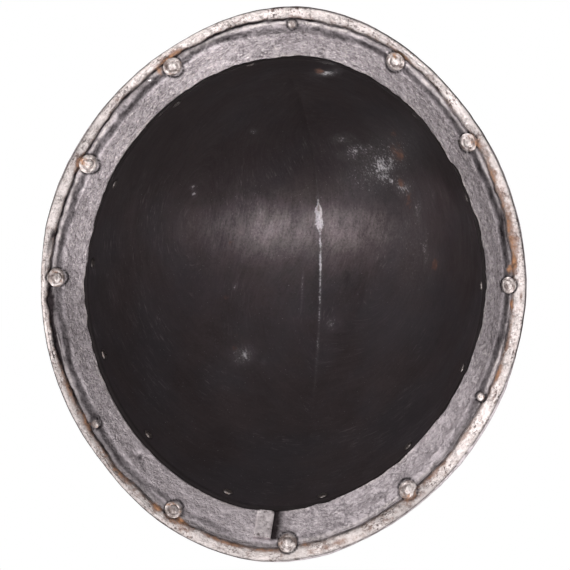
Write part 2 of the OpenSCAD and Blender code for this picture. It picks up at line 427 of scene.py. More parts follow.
def mesh_piece(name: str, points: Array, faces: list[tuple[int, ...]],
               materials: list[bpy.types.Material], face_materials: Array | None = None,
               marks: dict[str, Array] | None = None) -> bpy.types.Object:
    """Makes an object whose place is in its mesh.

    Args:
        name: the piece's name.
        points: corners in millimetres.
        faces: corners of each face, seen from outside.
        materials: its materials in order.
        face_materials: the place in that order of each face's material.
        marks: named values of the corners, a number or a vector each.

    Returns:
        The object, in metres, at the origin.
    """
    mesh = bpy.data.meshes.new(name)
    mesh.from_pydata((points.reshape(-1, 3) * MM).tolist(), [], faces)
    for material in materials:
        mesh.materials.append(material)
    mesh.polygons.foreach_set("use_smooth", [True] * len(faces))
    if face_materials is not None:
        mesh.polygons.foreach_set("material_index", face_materials.astype(np.int32))
    for mark, values in (marks or {}).items():
        vector = values.reshape(len(mesh.vertices), -1).shape[1] == 3
        attribute = mesh.attributes.new(mark, "FLOAT_VECTOR" if vector else "FLOAT", "POINT")
        attribute.data.foreach_set("vector" if vector else "value",
                                   values.astype(np.float32).ravel())
    mesh.update()
    piece = bpy.data.objects.new(name, mesh)
    bpy.context.scene.collection.objects.link(piece)
    return piece


# Shader groups and finishes


class Effect(Enum):
    """Effects that more than one finish uses."""

    PITTING = "Pitting"
    HAMMERING = "Hammering"
    BLOOM = "Rust bloom"
    HATCHING = "Ring scratches"


class Wire:
    """A value in a node tree. Sums with it add the nodes that work them out."""

    def __init__(self, shelf: "Shelf", socket: bpy.types.NodeSocket) -> None:
        """Keeps the socket that the value comes from."""
        self.shelf = shelf
        self.socket = socket

    def __add__(self, other: "Wire | float") -> "Wire":
        """This value and another."""
        return self.shelf.math("ADD", self, other)

    def __sub__(self, other: "Wire | float") -> "Wire":
        """This value less another."""
        return self.shelf.math("SUBTRACT", self, other)

    def __rsub__(self, other: float) -> "Wire":
        """A number less this value."""
        return self.shelf.math("SUBTRACT", other, self)

    def __mul__(self, other: "Wire | float") -> "Wire":
        """This value times another."""
        return self.shelf.math("MULTIPLY", self, other)

    def __truediv__(self, other: "Wire | float") -> "Wire":
        """This value shared by another."""
        return self.shelf.math("DIVIDE", self, other)

    def __pow__(self, other: float) -> "Wire":
        """This value to a power."""
        return self.shelf.math("POWER", self, other)

    def held(self) -> "Wire":
        """The sum that makes this value, held between 0 and 1."""
        self.socket.node.use_clamp = True
        return self

    def ramp(self, low: float, high: float, start: float = 0.0, end: float = 1.0) -> "Wire":
        """Maps this value from one span to another and holds it there."""
        return self.shelf.take("ShaderNodeMapRange", 0, {
            "Value": self, "From Min": low, "From Max": high, "To Min": start, "To Max": end})

    def between(self, start: float, end: float) -> "Wire":
        """Goes from one number to another as this value goes from 0 to 1."""
        return self.ramp(0.0, 1.0, start, end)


class Shelf:
    """A node tree that is filled from left to right."""

    COLUMNS = 12
    STEP = (
        180, -220)

    def __init__(self, tree: bpy.types.NodeTree) -> None:
        """Starts on an empty tree."""
        self.tree = tree
        self.count = 0

    def add(self, kind: str, inputs: dict | None = None, **settings: object) -> bpy.types.Node:
        """Places a node.

        Args:
            kind: the node's type.
            inputs: values or wires for its inputs, by name or number.
            settings: its own settings.

        Returns:
            The node.
        """
        node = self.tree.nodes.new(kind)
        node.location = (self.STEP[0] * (self.count % self.COLUMNS),
                         self.STEP[1] * (self.count // self.COLUMNS))
        self.count += 1
        for key, value in settings.items():
            setattr(node, key, value)
        self.feed(node, inputs or {})
        return node

    def feed(self, node: bpy.types.Node, inputs: dict) -> None:
        """Gives a node's inputs their values or wires.

        Args:
            node: the node.
            inputs: values or wires by name or number.
        """
        for key, value in inputs.items():
            if isinstance(value, Wire):
                self.tree.links.new(value.socket, node.inputs[key])
            else:
                node.inputs[key].default_value = value

    def take(self, kind: str, output: int | str, inputs: dict | None = None,
             **settings: object) -> Wire:
        """Places a node, as add does, and takes one of its outputs."""
        return Wire(self, self.add(kind, inputs, **settings).outputs[output])

    def wires(self, node: bpy.types.Node) -> dict[str, Wire]:
        """All outputs of a node by name."""
        return {socket.name: Wire(self, socket) for socket in node.outputs}

    def math(self, operation: str, one: Wire | float, two: Wire | float = 0.0) -> Wire:
        """A sum of two values."""
        return self.take("ShaderNodeMath", 0, {0: one, 1: two}, operation=operation)

    def blend(self, share: Wire | float, one: Wire | Colour, two: Wire | Colour,
              mode: str = "MIX") -> Wire:
        """Mixes two colours by a share.

        Args:
            share: how much of the second.
            one: the first colour.
            two: the second colour.
            mode: how they mix.

        Returns:
            The mixed colour.
        """
        ends = {place: end if isinstance(end, Wire) else (*end, 1.0)
                for place, end in ((6, one), (7, two))}
        return self.take("ShaderNodeMix", 2, {0: share, **ends}, data_type="RGBA", blend_type=mode)

    def noise(self, place: Wire, scale: Wire | float, detail: float = 3.0, rough: float = 0.55,
              twist: float = 0.0) -> Wire:
        """Plain noise at a place.

        Args:
            place: the place.
            scale: how fine it is.
            detail: its layers.
            rough: how strong the finer layers are.
            twist: how far it is warped.

        Returns:
            A value from 0 to 1.
        """
        return self.take("ShaderNodeTexNoise", "Fac", {
            "Vector": place, "Scale": scale, "Detail": detail, "Roughness": rough,
            "Distortion": twist})

    def stretch(self, place: Wire, scale: Triple) -> Wire:
        """Stretches a place along its axes."""
        return self.take("ShaderNodeMapping", 0, {"Vector": place, "Scale": scale})

    def split(self, place: Wire) -> dict[str, Wire]:
        """The X, Y and Z of a place."""
        return self.wires(self.add("ShaderNodeSeparateXYZ", {0: place}))

    def point(self, x: Wire | float, y: Wire | float, z: Wire | float) -> Wire:
        """Puts a place together from its X, Y and Z."""
        return self.take("ShaderNodeCombineXYZ", 0, {0: x, 1: y, 2: z})

    def mark(self, name: str, socket: str = "Fac") -> Wire:
        """Reads a named value of the mesh."""
        return self.take("ShaderNodeAttribute", socket, attribute_name=name,
                         attribute_type="GEOMETRY")

    def effect(self, effect: Effect, place: Wire, **inputs: Wire | float) -> dict[str, Wire]:
        """Places a shared shader group with its values, and gives its outputs by name."""
        return self.wires(self.add("ShaderNodeGroup", {"Place": place, **inputs},
                                   node_tree=bpy.data.node_groups[effect.value]))


def blank(holder: bpy.types.Material | bpy.types.World) -> Shelf:
    """Empties the nodes of a material or a world.

    Args:
        holder: the material or world.

    Returns:
        A shelf on its empty tree.
    """
    holder.use_nodes = True
    holder.node_tree.nodes.clear()
    return Shelf(holder.node_tree)


def shader_group(effect: Effect, inputs: dict[str, float],
                 outputs: list[str]) -> tuple[Shelf, dict[str, Wire], bpy.types.Node]:
    """Starts a shader node group.

    Args:
        effect: the effect that the group makes.
        inputs: its number inputs with their first values; it also has a Place.
        outputs: its number outputs.

    Returns:
        The shelf to fill, its inputs by name and its output node.
    """
    tree = bpy.data.node_groups.new(effect.value, "ShaderNodeTree")
    tree.interface.new_socket("Place", in_out="INPUT", socket_type="NodeSocketVector")
    for key, value in inputs.items():
        socket = tree.interface.new_socket(key, in_out="INPUT", socket_type="NodeSocketFloat")
        socket.default_value = value
    for key in outputs:
        tree.interface.new_socket(key, in_out="OUTPUT", socket_type="NodeSocketFloat")
    shelf = Shelf(tree)
    return shelf, shelf.wires(shelf.add("NodeGroupInput")), shelf.add("NodeGroupOutput")


def make_pitting() -> None:
    """Small corrosion pits of uneven depth: a height and a mask of their floors."""
    shelf, start, end = shader_group(Effect.PITTING, {"Scale": 900.0, "Amount": 0.5},
                                     ["Height", "Pits"])
    fine = shelf.noise(start["Place"], start["Scale"], 4.0, 0.62)
    wide = shelf.noise(start["Place"], start["Scale"] * 0.23, 2.0, 0.5)
    floor = fine.ramp(0.5, 0.32) * wide.ramp(0.42, 0.62)
    pits = (floor * start["Amount"]).held()
    shelf.feed(end, {"Height": fine * 0.45 - pits, "Pits": pits})


def make_hammering() -> None:
    """The soft facets that a hammer leaves."""
    shelf, start, end = shader_group(Effect.HAMMERING, {"Scale": 110.0}, ["Height"])
    facets = shelf.take("ShaderNodeTexVoronoi", "Distance", {
        "Vector": start["Place"], "Scale": start["Scale"], "Smoothness": 0.8, "Randomness": 1.0},
        feature="SMOOTH_F1")
    soft = shelf.noise(start["Place"], start["Scale"] * 1.7, 2.0, 0.5)
    shelf.feed(end, {"Height": facets + soft * 0.8})


def make_bloom() -> None:
    """Rust that grows from a painted mask: where it lies, and how bright it is."""
    shelf, start, end = shader_group(Effect.BLOOM, {"Mask": 0.0, "Scale": 420.0},
                                     ["Rust", "Shade"])
    place, scale, mask = start["Place"], start["Scale"], start["Mask"]
    crumbs = shelf.noise(place, scale, 6.0, 0.68)
    edge = mask + (crumbs - 0.5) * 1.5
    shade = shelf.noise(place, scale * 0.6, 3.0, 0.5)
    strong = mask.ramp(0.4, 0.95, 0.15, 1.0)
    shelf.feed(end, {"Rust": edge.ramp(0.28, 0.75), "Shade": shade.ramp(0.35, 0.65) * strong})


def make_hatching() -> None:
    """Fine scratches that run round the skull, from the ring marks of its mesh."""
    shelf, start, end = shader_group(Effect.HATCHING, {"Amount": 1.0}, ["Height", "Tone"])
    fine = shelf.noise(shelf.stretch(start["Place"], (9.0, 9.0, 52.0)), 1.3, 5.0, 0.7)
    bold = shelf.noise(shelf.stretch(start["Place"], (3.6, 3.6, 15.0)), 1.1, 3.0, 0.6, 0.4)
    both = fine * 0.6 + bold * 0.4
    shelf.feed(end, {"Height": both * start["Amount"], "Tone": both})


@dataclass(frozen=True)
class Look:
    """What a finish gives to its shader."""

    colour: Wire
    rough: Wire
    height: Wire
    metallic: Wire | float


@dataclass(frozen=True)
class Iron:
    """The plain values of an iron surface, which every finish starts from."""

    name: str
    light: Colour
    dark: Colour
    tint: Colour = (1.0, 1.0, 1.0)
    metallic: float = 1.0
    rough_low: float = 0.34
    rough_high: float = 0.6
    bump: float = 0.4
    bump_mm: float = 0.5
    pit_scale: float = 900.0
    pits: float = 0.8
    hammer_scale: float = 110.0
    hammer: float = 0.5
    cloud_scale: float = 300.0
    rust_scale: float = 600.0
    rust: Colour = (0.56, 0.29, 0.15)
    rust_dark: Colour = (0.2, 0.115, 0.08)

    def paint(self, shelf: Shelf, place: Wire) -> Look:
        """Works out the finish at a place; each finish has its own way."""
        raise NotImplementedError

    def make(self) -> bpy.types.Material:
        """Builds the material round what the finish paints.

        Returns:
            The material.
        """
        material = bpy.data.materials.new(self.name)
        shelf = blank(material)
        look = self.paint(shelf, shelf.take("ShaderNodeTexCoord", "Object"))
        bump = shelf.take("ShaderNodeBump", 0, {
            "Strength": self.bump, "Distance": self.bump_mm * MM, "Height": look.height})
        shader = shelf.take("ShaderNodeBsdfPrincipled", 0, {
            "Base Color": look.colour, "Metallic": look.metallic, "Roughness": look.rough,
            "Specular Tint": (*self.tint, 1.0), "Normal": bump})
        shelf.add("ShaderNodeOutputMaterial", {0: shader})
        return material

    def pitting(self, shelf: Shelf, place: Wire) -> dict[str, Wire]:
        """The finish's corrosion pits."""
        return shelf.effect(Effect.PITTING, place, Scale=self.pit_scale, Amount=self.pits)

    def hammering(self, shelf: Shelf, place: Wire) -> Wire:
        """The height of the finish's hammer marks."""
        return shelf.effect(Effect.HAMMERING, place, Scale=self.hammer_scale)["Height"]

    def rusted(self, shelf: Shelf, place: Wire, colour: Wire, mask: Wire) -> tuple[Wire, Wire]:
        """Lays rust over a colour.

        Args:
            shelf: the material's shelf.
            place: the place on the surface.
            colour: the colour so far.
            mask: how much rust there is at the place.

        Returns:
            The colour with its rust, and where the rust lies.
        """
        bloom = shelf.effect(Effect.BLOOM, place, Mask=mask, Scale=self.rust_scale)
        rusty = shelf.blend(bloom["Shade"], self.rust_dark, self.rust)
        return shelf.blend(bloom["Rust"], colour, rusty), bloom["Rust"]


@dataclass(frozen=True)
class BrimUnderside(Iron):
    """Matte pitted iron inside the brim, worn bright on the turned edge."""

    name: str = "Brim underside"
    light: Colour = (0.56, 0.51, 0.535)
    dark: Colour = (0.26, 0.23, 0.245)
    tint: Colour = (0.3, 0.25, 0.24)
    hem_light: Colour = (0.68, 0.62, 0.61)
    hem_dark: Colour = (0.11, 0.08, 0.075)
    hem_brown: Colour = (0.27, 0.18, 0.15)
    # Colour of the painted shade in the fold, the hollow, the dent, round the fastenings and beside
    # the strap
    painted_shade: Colour = (0.03, 0.024, 0.026)
    hammer_scale: float = 240.0
    hammer: float = 0.8
    pit_scale: float = 760.0
    pits: float = 0.9
    cloud_scale: float = 540.0
    wear_scale: float = 70.0
    fleck_scale: float = 820.0
    blotch_scale: float = 300.0
    highlight_scale: float = 330.0
    crumb_scale: float = 520.0
    rust_scale: float = 460.0
    bump: float = 1.0
    bump_mm: float = 0.7

    def band(self, shelf: Shelf, pits: Wire, rugged: Wire, scale: Wire, cloud: Wire) -> Wire:
        """The colour of the plate inside the turned edge: pits, glints and forge scale.

        Args:
            shelf: the material's shelf.
            pits: the floors of the pits.
            rugged: how rough the plate is.
            scale: noise of the forge scale.
            cloud: noise of the plate's tone.

        Returns:
            The colour.
        """
        band = shelf.blend(cloud, self.dark, self.light)
        band = shelf.blend(pits * rugged.between(0.35, 0.8), band, self.dark)
        # Painted glints: bright specks of highlight on the forge scale
        band = shelf.blend(scale.ramp(0.545, 0.63) * (rugged * 0.9), band, self.hem_light)
        return shelf.blend(scale.ramp(0.46, 0.37) * (rugged * 0.55), band, self.hem_dark)

    def hem(self, shelf: Shelf, place: Wire, lane: Wire, rust: Wire) -> Wire:
        """The colour of the turned edge: bright, with dark flecks and brown blotches.

        Args:
            shelf: the material's shelf.
            place: the place on the surface.
            lane: the place along the edge.
            rust: how much rust there is.

        Returns:
            The colour.
        """
        worn = shelf.noise(place, self.wear_scale).ramp(0.42, 0.6)
        drawn = shelf.noise(lane, 0.3, 5.0, 0.7, 0.4)
        flecks = (shelf.noise(place, self.fleck_scale, 5.0, 0.75) + drawn) * 0.5
        flecks = flecks.ramp(0.5, 0.43) * worn.between(0.2, 1.0)
        hem = shelf.blend(flecks, self.hem_light, self.hem_dark)
        browned = rust * 0.5
        blotch = (shelf.noise(place, self.blotch_scale, 5.0, 0.68) + browned).ramp(0.53, 0.68)
        blotch = blotch * (worn.between(0.25, 0.6) + browned).held()
        return shelf.blend(blotch, hem, self.hem_brown)

    def paint(self, shelf: Shelf, place: Wire) -> Look:
        """Plate, turned edge, painted highlights on the ridges, painted light and shade, and rust,
        from the marks of the mesh.

        Args:
            shelf: the material's shelf.
            place: the place on the surface.

        Returns:
            The finish there.
        """
        rugged, rust, shade_mark = shelf.mark("rugged"), shelf.mark("rust"), shelf.mark("painted_shade")
        lane = shelf.mark("lane", "Vector")
        pitting = self.pitting(shelf, place)
        scale = shelf.noise(lane, 0.5, 5.0, 0.68, 0.5)
        cloud = shelf.noise(place, self.cloud_scale, 5.0, 0.75).ramp(0.3, 0.7)
        cloud = (cloud * rugged.between(0.8, 0.4)
                 + scale.ramp(0.34, 0.66) * rugged.between(0.2, 0.6))
        band = self.band(shelf, pitting["Pits"], rugged, scale, cloud)
        colour = shelf.blend(shelf.mark("hem"), band, self.hem(shelf, place, lane, rust))
        # Painted light and shade from the tone mark, by bearing and towards the edges
        colour = shelf.blend(1.0, colour, shelf.mark("tone"), "MULTIPLY")
        # Painted highlight from the bright mark, on the ridge and the plate's inner edge
        painted_sheen = shelf.noise(place, self.highlight_scale, 4.0).ramp(0.3, 0.56)
        colour = shelf.blend(shelf.mark("bright") * painted_sheen, colour, self.hem_light)
        crumbs = shelf.noise(place, self.crumb_scale, 5.0, 0.65)
        # Painted shade, read from the mesh's mark and broken up by crumbs of noise
        painted_shade = (shade_mark + (crumbs - 0.5) * 0.55).ramp(0.02, 0.86) * shade_mark.ramp(0.02, 0.2)
        colour = shelf.blend(painted_shade, colour, self.painted_shade)
        colour, rusty = self.rusted(shelf, place, colour, rust)
        height = pitting["Height"] * 0.7 + self.hammering(shelf, place) * self.hammer
        height = height + scale * (rugged * 1.1) + crumbs * 0.35
        rough = cloud.between(self.rough_high, self.rough_low + 0.12) + rusty * 0.3
        return Look(colour, rough, height, rusty.between(self.metallic, 0.1))


@dataclass(frozen=True)
class SkullInside(Iron):
    """Brown-black satin iron inside the skull, scratched round its rings."""

    name: str = "Skull inside"
    light: Colour = (0.09, 0.073, 0.076)
    dark: Colour = (0.042, 0.033, 0.035)
    tint: Colour = (1.0, 0.84, 0.86)
    # Colour of the painted sheen on the crown, and of the scratch strokes
    polished: Colour = (0.36, 0.31, 0.32)
    cool: Colour = (0.06, 0.062, 0.074)
    bare: Colour = (0.84, 0.82, 0.85)
    # Colour of bare iron, and of the painted highlight on the keel's line and pucker
    rust: Colour = (0.3, 0.16, 0.11)
    rust_dark: Colour = (0.14, 0.078, 0.062)
    metallic: float = 0.4
    scuff_metallic: float = 0.28
    rough_low: float = 0.36
    rough_high: float = 0.5
    bump: float = 0.3
    bump_mm: float = 0.35
    pit_scale: float = 520.0
    pits: float = 0.5
    cloud_scale: float = 34.0
    grain_scale: float = 760.0
    cool_scale: float = 24.0
    stroke_scale: float = 46.0
    crumb_scale: float = 700.0
    speck_scale: float = 1150.0
    rust_scale: float = 520.0

    def scuffs(self, shelf: Shelf, place: Wire, tone: Wire) -> Wire:
        """Where the dark surface is worn through to bare iron, and where a highlight is painted on
        the keel's line and the pucker.

        Args:
            shelf: the material's shelf.
            place: the place on the surface.
            tone: how light the inside is there.

        Returns:
            A share from 0 to 1.
        """
        bright = shelf.mark("bright")
        crumbs = shelf.noise(place, self.crumb_scale, 3.0, 0.7)
        scuff = (bright + (crumbs - 0.5) * 1.8).ramp(0.42, 1.02) * bright.ramp(0.03, 0.15)
        scuff = shelf.math("MAXIMUM", scuff, bright * crumbs.ramp(0.3, 0.7, 0.05, 0.24))
        specks = shelf.noise(place, self.speck_scale, 2.0, 0.6).ramp(0.69, 0.78, 0.0, 0.3)
        return shelf.math("MAXIMUM", scuff, specks * tone.ramp(0.25, 0.6))

    def paint(self, shelf: Shelf, place: Wire) -> Look:
        """Dark clouds and scratches, painted shade, the painted sheen on the crown, scuffs and
        painted highlights, and rust, from the marks.

        Args:
            shelf: the material's shelf.
            place: the place on the surface.

        Returns:
            The finish there.
        """
        tone = shelf.mark("tone")
        hatching = shelf.effect(Effect.HATCHING, shelf.mark("ring", "Vector"), Amount=1.0)
        cloud = shelf.noise(place, self.cloud_scale, 4.0, 0.6).ramp(0.35, 0.66)
        streaks = hatching["Tone"].ramp(0.38, 0.62)
        grain = shelf.noise(place, self.grain_scale, 4.0, 0.75).ramp(0.34, 0.66)
        colour = shelf.blend(cloud * 0.4 + streaks * 0.3 + grain * 0.34, self.dark, self.light)
        cool = shelf.noise(place, self.cool_scale).ramp(0.42, 0.62, 0.0, 0.4)
        colour = shelf.blend(cool, colour, self.cool)
        # Painted shade from the tone mark
        colour = shelf.blend(1.0, colour, tone, "MULTIPLY")
        # Painted sheen on the crown, blended with the scratch strokes into the polished colour
        painted_sheen = shelf.mark("painted_sheen") * (streaks + grain).ramp(0.3, 1.7, 0.35, 1.45)
        stroke = shelf.noise(shelf.mark("stroke", "Vector"), 1.0, 3.0, 0.6, 0.6)
        stroke = stroke.ramp(0.56, 0.7, 0.0, 0.32)
        stroke = stroke * shelf.noise(place, self.stroke_scale).ramp(0.48, 0.68)
        colour = shelf.blend(painted_sheen + stroke * tone.ramp(0.2, 0.6), colour, self.polished)
        scuff = self.scuffs(shelf, place, tone)
        # Scuffs to bare iron, and the painted highlights
        colour = shelf.blend(scuff, colour, self.bare)
        colour, _ = self.rusted(shelf, place, colour, shelf.mark("rust"))
        rough = (hatching["Tone"] + cloud * 0.4).ramp(0.5, 0.95, self.rough_high, self.rough_low)
        rough = (rough + tone.ramp(0.2, 0.6, 0.4, 0.0) - scuff * 0.12).held()
        height = hatching["Height"] * 0.7 + self.pitting(shelf, place)["Height"] * 0.5
        return Look(colour, rough, height, scuff.ramp(0.3, 0.9, self.metallic, self.scuff_metallic))


@dataclass(frozen=True)
class OuterIron(Iron):
    """Old polished iron on the outside, browned in its pits and worn bright on the ridges."""

    name: str = "Outer iron"
    light: Colour = (0.4, 0.37, 0.355)
    dark: Colour = (0.14, 0.11, 0.1)
    tint: Colour = (0.45, 0.4, 0.385)
    brown: Colour = (0.2, 0.115, 0.07)
    bright: Colour = (0.66, 0.62, 0.6)
    rough_low: float = 0.3
    rough_high: float = 0.52
    bump: float = 0.45
    pits: float = 1.0
    cloud_scale: float = 22.0
    grime_scale: float = 90.0
    wear_scale: float = 240.0
    rust_scale: float = 300.0

    def paint(self, shelf: Shelf, place: Wire) -> Look:
        """Clouds, brown grime and rust; the ridge mark shows the places worn bright.

        Args:
            shelf: the material's shelf.
            place: the place on the surface.

        Returns:
            The finish there.
        """
        pitting = self.pitting(shelf, place)
        cloud = shelf.noise(place, self.cloud_scale, 6.0, 0.62, 0.3).ramp(0.36, 0.66)
        grime = shelf.noise(place, self.grime_scale, 6.0, 0.68).ramp(0.5, 0.72)
        colour = shelf.blend(cloud, self.dark, self.light)
        colour = shelf.blend(grime * 0.6, colour, self.brown)
        colour = shelf.blend(pitting["Pits"], colour, self.dark)
        worn = shelf.mark("ridge") * shelf.noise(place, self.wear_scale, 4.0).ramp(0.36, 0.58)
        colour = shelf.blend(worn, colour, self.bright)
        colour, rusty = self.rusted(shelf, place, colour, shelf.mark("rust"))
        rough = cloud.between(self.rough_high, self.rough_low) + grime * 0.16
        height = pitting["Height"] * 0.6 + self.hammering(shelf, place) * self.hammer
        return Look(colour, rough, height, rusty.between(self.metallic, 0.15))


@dataclass(frozen=True)
class FastenerIron(Iron):
    """Iron of the small hand-made pieces: rivets, round plates and the strap."""

    grime: Colour = (0.07, 0.05, 0.045)
    rusty: float = 0.3
    spot_scale: float = 150.0
    # Half the helmet's width in metres, over which painted light makes the iron go from lighter to
    # plain
    half_width: float = 0.12
    shade: tuple[float, float] = (1.2, 1.02)

    def paint(self, shelf: Shelf, place: Wire) -> Look:
        """Clouded iron with grime in its pits, painted light that makes it lighter towards -X, and
        a little rust.

        Args:
            shelf: the material's shelf.
            place: the place on the surface.

        Returns:
            The finish there.
        """
        pitting = self.pitting(shelf, place)
        cloud = shelf.noise(place, self.cloud_scale, 4.0, 0.6).ramp(0.4, 0.6)
        colour = shelf.blend(cloud, self.dark, self.light)
        colour = shelf.blend(pitting["Pits"], colour, self.grime)
        # Painted light: the iron is painted lighter towards -X
        side = shelf.split(place)["X"].ramp(-self.half_width, self.half_width, *self.shade)
        colour = shelf.blend(1.0, colour, side, "MULTIPLY")
        spots = shelf.noise(place, self.spot_scale, 2.0).ramp(0.5, 0.66) * self.rusty
        colour, _ = self.rusted(shelf, place, colour, spots)
        height = pitting["Height"] + self.hammering(shelf, place) * self.hammer
        return Look(colour, cloud.between(self.rough_high, self.rough_low), height, self.metallic)


@dataclass
class Finishes:
    """Every material of the helmet, made once."""

    underside: bpy.types.Material = field(init=False)
    inside: bpy.types.Material = field(init=False)
    outside: bpy.types.Material = field(init=False)
    rivet: bpy.types.Material = field(init=False)
    base_rivet: bpy.types.Material = field(init=False)
    rove: bpy.types.Material = field(init=False)
    strap: bpy.types.Material = field(init=False)

    def __post_init__(self) -> None:
        """Makes the shared effects, then the materials that use them."""
        make_pitting()
        make_hammering()
        make_bloom()
        make_hatching()
        self.underside = BrimUnderside().make()
        self.inside = SkullInside().make()
        self.outside = OuterIron().make()
        self.rivet = FastenerIron(
            "Rivet iron", (0.64, 0.59, 0.58), (0.24, 0.2, 0.19), pit_scale=700.0,
            hammer_scale=330.0, rusty=0.42).make()
        self.base_rivet = FastenerIron(
            "Base rivet iron", (0.36, 0.325, 0.315), (0.06, 0.05, 0.048), rough_low=0.22,
            bump=0.5, hammer_scale=300.0).make()
        self.rove = FastenerIron(
            "Round plate iron", (0.6, 0.545, 0.535), (0.17, 0.135, 0.125), bump=0.55,
            pit_scale=620.0, hammer_scale=260.0, rusty=0.6).make()
        self.strap = FastenerIron(
            "Strap iron", (0.58, 0.53, 0.54), (0.39, 0.35, 0.36), rough_low=0.45, bump=0.5,
            pit_scale=800.0, hammer_scale=200.0, rusty=0.1).make()


# The skull


@dataclass
class Skull:
    """The keeled skull: outer skin, stalk, lower edge and inner skin in one closed mesh."""

    finishes: Finishes
    columns: int = 320
    outer_rows: int = 96
    inner_rows: int = 142
    crowding: float = 11.5
    hammer_mm: float = 0.16
    dent_mm: float = 0.14
    node: str = "skull"

    # Bare spots inside: x, y, half-width, half-length and strength
    SPOTS = (
        (-41.0, 61.0, 9.0, 10.0, 0.68), (-30.0, 70.0, 12.0, 5.0, 0.42),
        (-53.0, 50.0, 7.0, 5.0, 0.62), (-21.0, 77.0, 9.0, 3.0, 0.3), (-62.0, 40.0, 2.4, 8.0, 0.5),
        (-66.0, 18.0, 1.8, 13.0, 0.42), (33.0, -41.0, 4.5, 4.0, 0.75), (60.0, 50.0, 1.2, 1.0, 0.9),
        (59.5, 46.5, 1.0, 1.3, 0.9), (28.0, 81.0, 1.2, 1.2, 0.75), (-13.5, -25.0, 5.0, 3.5, 0.36),
        (40.0, -4.0, 1.0, 1.6, 0.7), (22.0, -45.0, 1.4, 1.2, 0.5), (-71.0, 46.0, 1.0, 1.2, 0.8),
        (25.5, 33.0, 0.7, 5.5, 0.42), (28.0, 36.5, 0.6, 4.0, 0.4), (22.0, 29.5, 0.6, 3.6, 0.36),
        (4.6, -1.0, 0.6, 5.5, 0.5), (4.4, -12.0, 0.5, 7.0, 0.4), (-17.0, 108.6, 6.5, 1.1, 0.7),
        (-47.0, 54.0, 1.1, 2.2, 1.0), (-46.5, 64.5, 1.3, 1.6, 0.95))
    # Rust spots inside: x, y, half-width, half-length and strength
    RUSTY = (
        (-52.7, 70.0, 5.5, 5.0, 0.74), (-52.7, 53.0, 2.4, 3.4, 0.85), (-57.0, 44.0, 2.6, 5.0, 0.7),
        (-71.5, 8.3, 1.5, 2.8, 1.2), (45.0, 20.5, 3.4, 1.8, 0.8), (44.0, -9.5, 1.8, 1.6, 0.66),
        (35.0, -31.0, 5.0, 1.2, 0.66), (37.0, -37.0, 3.0, 1.2, 0.55), (-49.0, 78.0, 3.0, 2.0, 0.5),
        (-13.0, 109.6, 3.0, 1.0, 0.8))
    # Distance behind the apex, and half-width of the pucker under the stalk there
    PUCKER = (
        (-7.2, 0.0), (-6.0, 0.9), (-4.8, 1.8), (-2.5, 2.4), (0.0, 2.0), (2.0, 1.7), (5.0, 2.0),
        (7.0, 1.6), (8.5, 0.8), (9.5, 0.4), (12.0, 0.0))

    def angles(self) -> Array:
        """Angles of the columns, closer together beside the keel, two of them on its crest."""
        s = np.arange(self.columns) * 360.0 / self.columns
        return s + self.crowding * np.sin(np.radians(2 * s)) - math.degrees(FORM.crest_turn)

    def stalk(self, t: Array, last: Array) -> Array:
        """Rows from the last ring of the outer skin to the tip of the stalk.

        Args:
            t: angles of the columns.
            last: the ring to start from.

        Returns:
            The new rows.
        """
        r, h, lean = FORM.stalk_r, FORM.stalk_h, FORM.stalk_lean
        # Half-width and half-length in radii, height, and share of the lean
        rings = [(1.35, 1.5, -0.5, 0.0), (0.95, 1.05, h * 0.16, 0.05),
                 (0.72, 0.78, h * 0.42, 0.3), (0.95, 0.95, h * 0.66, 0.6),
                 (1.0, 1.0, h * 0.8, 0.78), (0.72, 0.72, h * 0.94, 0.94),
                 (0.3, 0.3, h - 0.05, 0.99), (0.01, 0.01, h, 1.0)]
        rows = [last] + [FORM.apex_ring(t, r * w, r * l, lean * k, FORM.top_z + z)
                         for w, l, z, k in rings]
        return resample(np.array(rows), [3, 4, 4, 4, 3, 3, 2, 1])[1:]

    def pit(self, t: Array, last: Array) -> Array:
        """Rows from the last ring of the inner skin to the middle of the crown.

        Args:
            t: angles of the columns.
            last: the ring to start from.

        Returns:
            The new rows.
        """
        z = float(last[:, 2].mean())
        rings = [(2.4, 2.6, z + 0.15), (1.2, 1.4, z + 0.2), (0.01, 0.01, z + 0.22)]
        rows = [last] + [FORM.apex_ring(t, w, l, 0.0, h) for w, l, h in rings]
        return resample(np.array(rows), [3, 3, 3])[1:]

    def seam(self, points: Array) -> tuple[Array, Array]:
        """Measures from the line that the keel leaves inside.

        Args:
            points: points of the skull.

        Returns:
            How far off the line each point lies, and how far behind the apex.
        """
        x, y = points[..., 0] + FORM.apex_side, points[..., 1] - FORM.apex_back
        left = 1.0 - np.clip(FORM.share(points[..., 2]), 0.0, 1.0)
        off = FORM.crest_distance(x - FORM.apex_side * left, y + FORM.apex_back * left)
        return off, y

    def spindle(self, behind: Array) -> Array:
        """Half-width of the pucker under the stalk, by the distance behind the apex."""
        places, widths = np.array(self.PUCKER).T
        return np.interp(behind, places, widths)

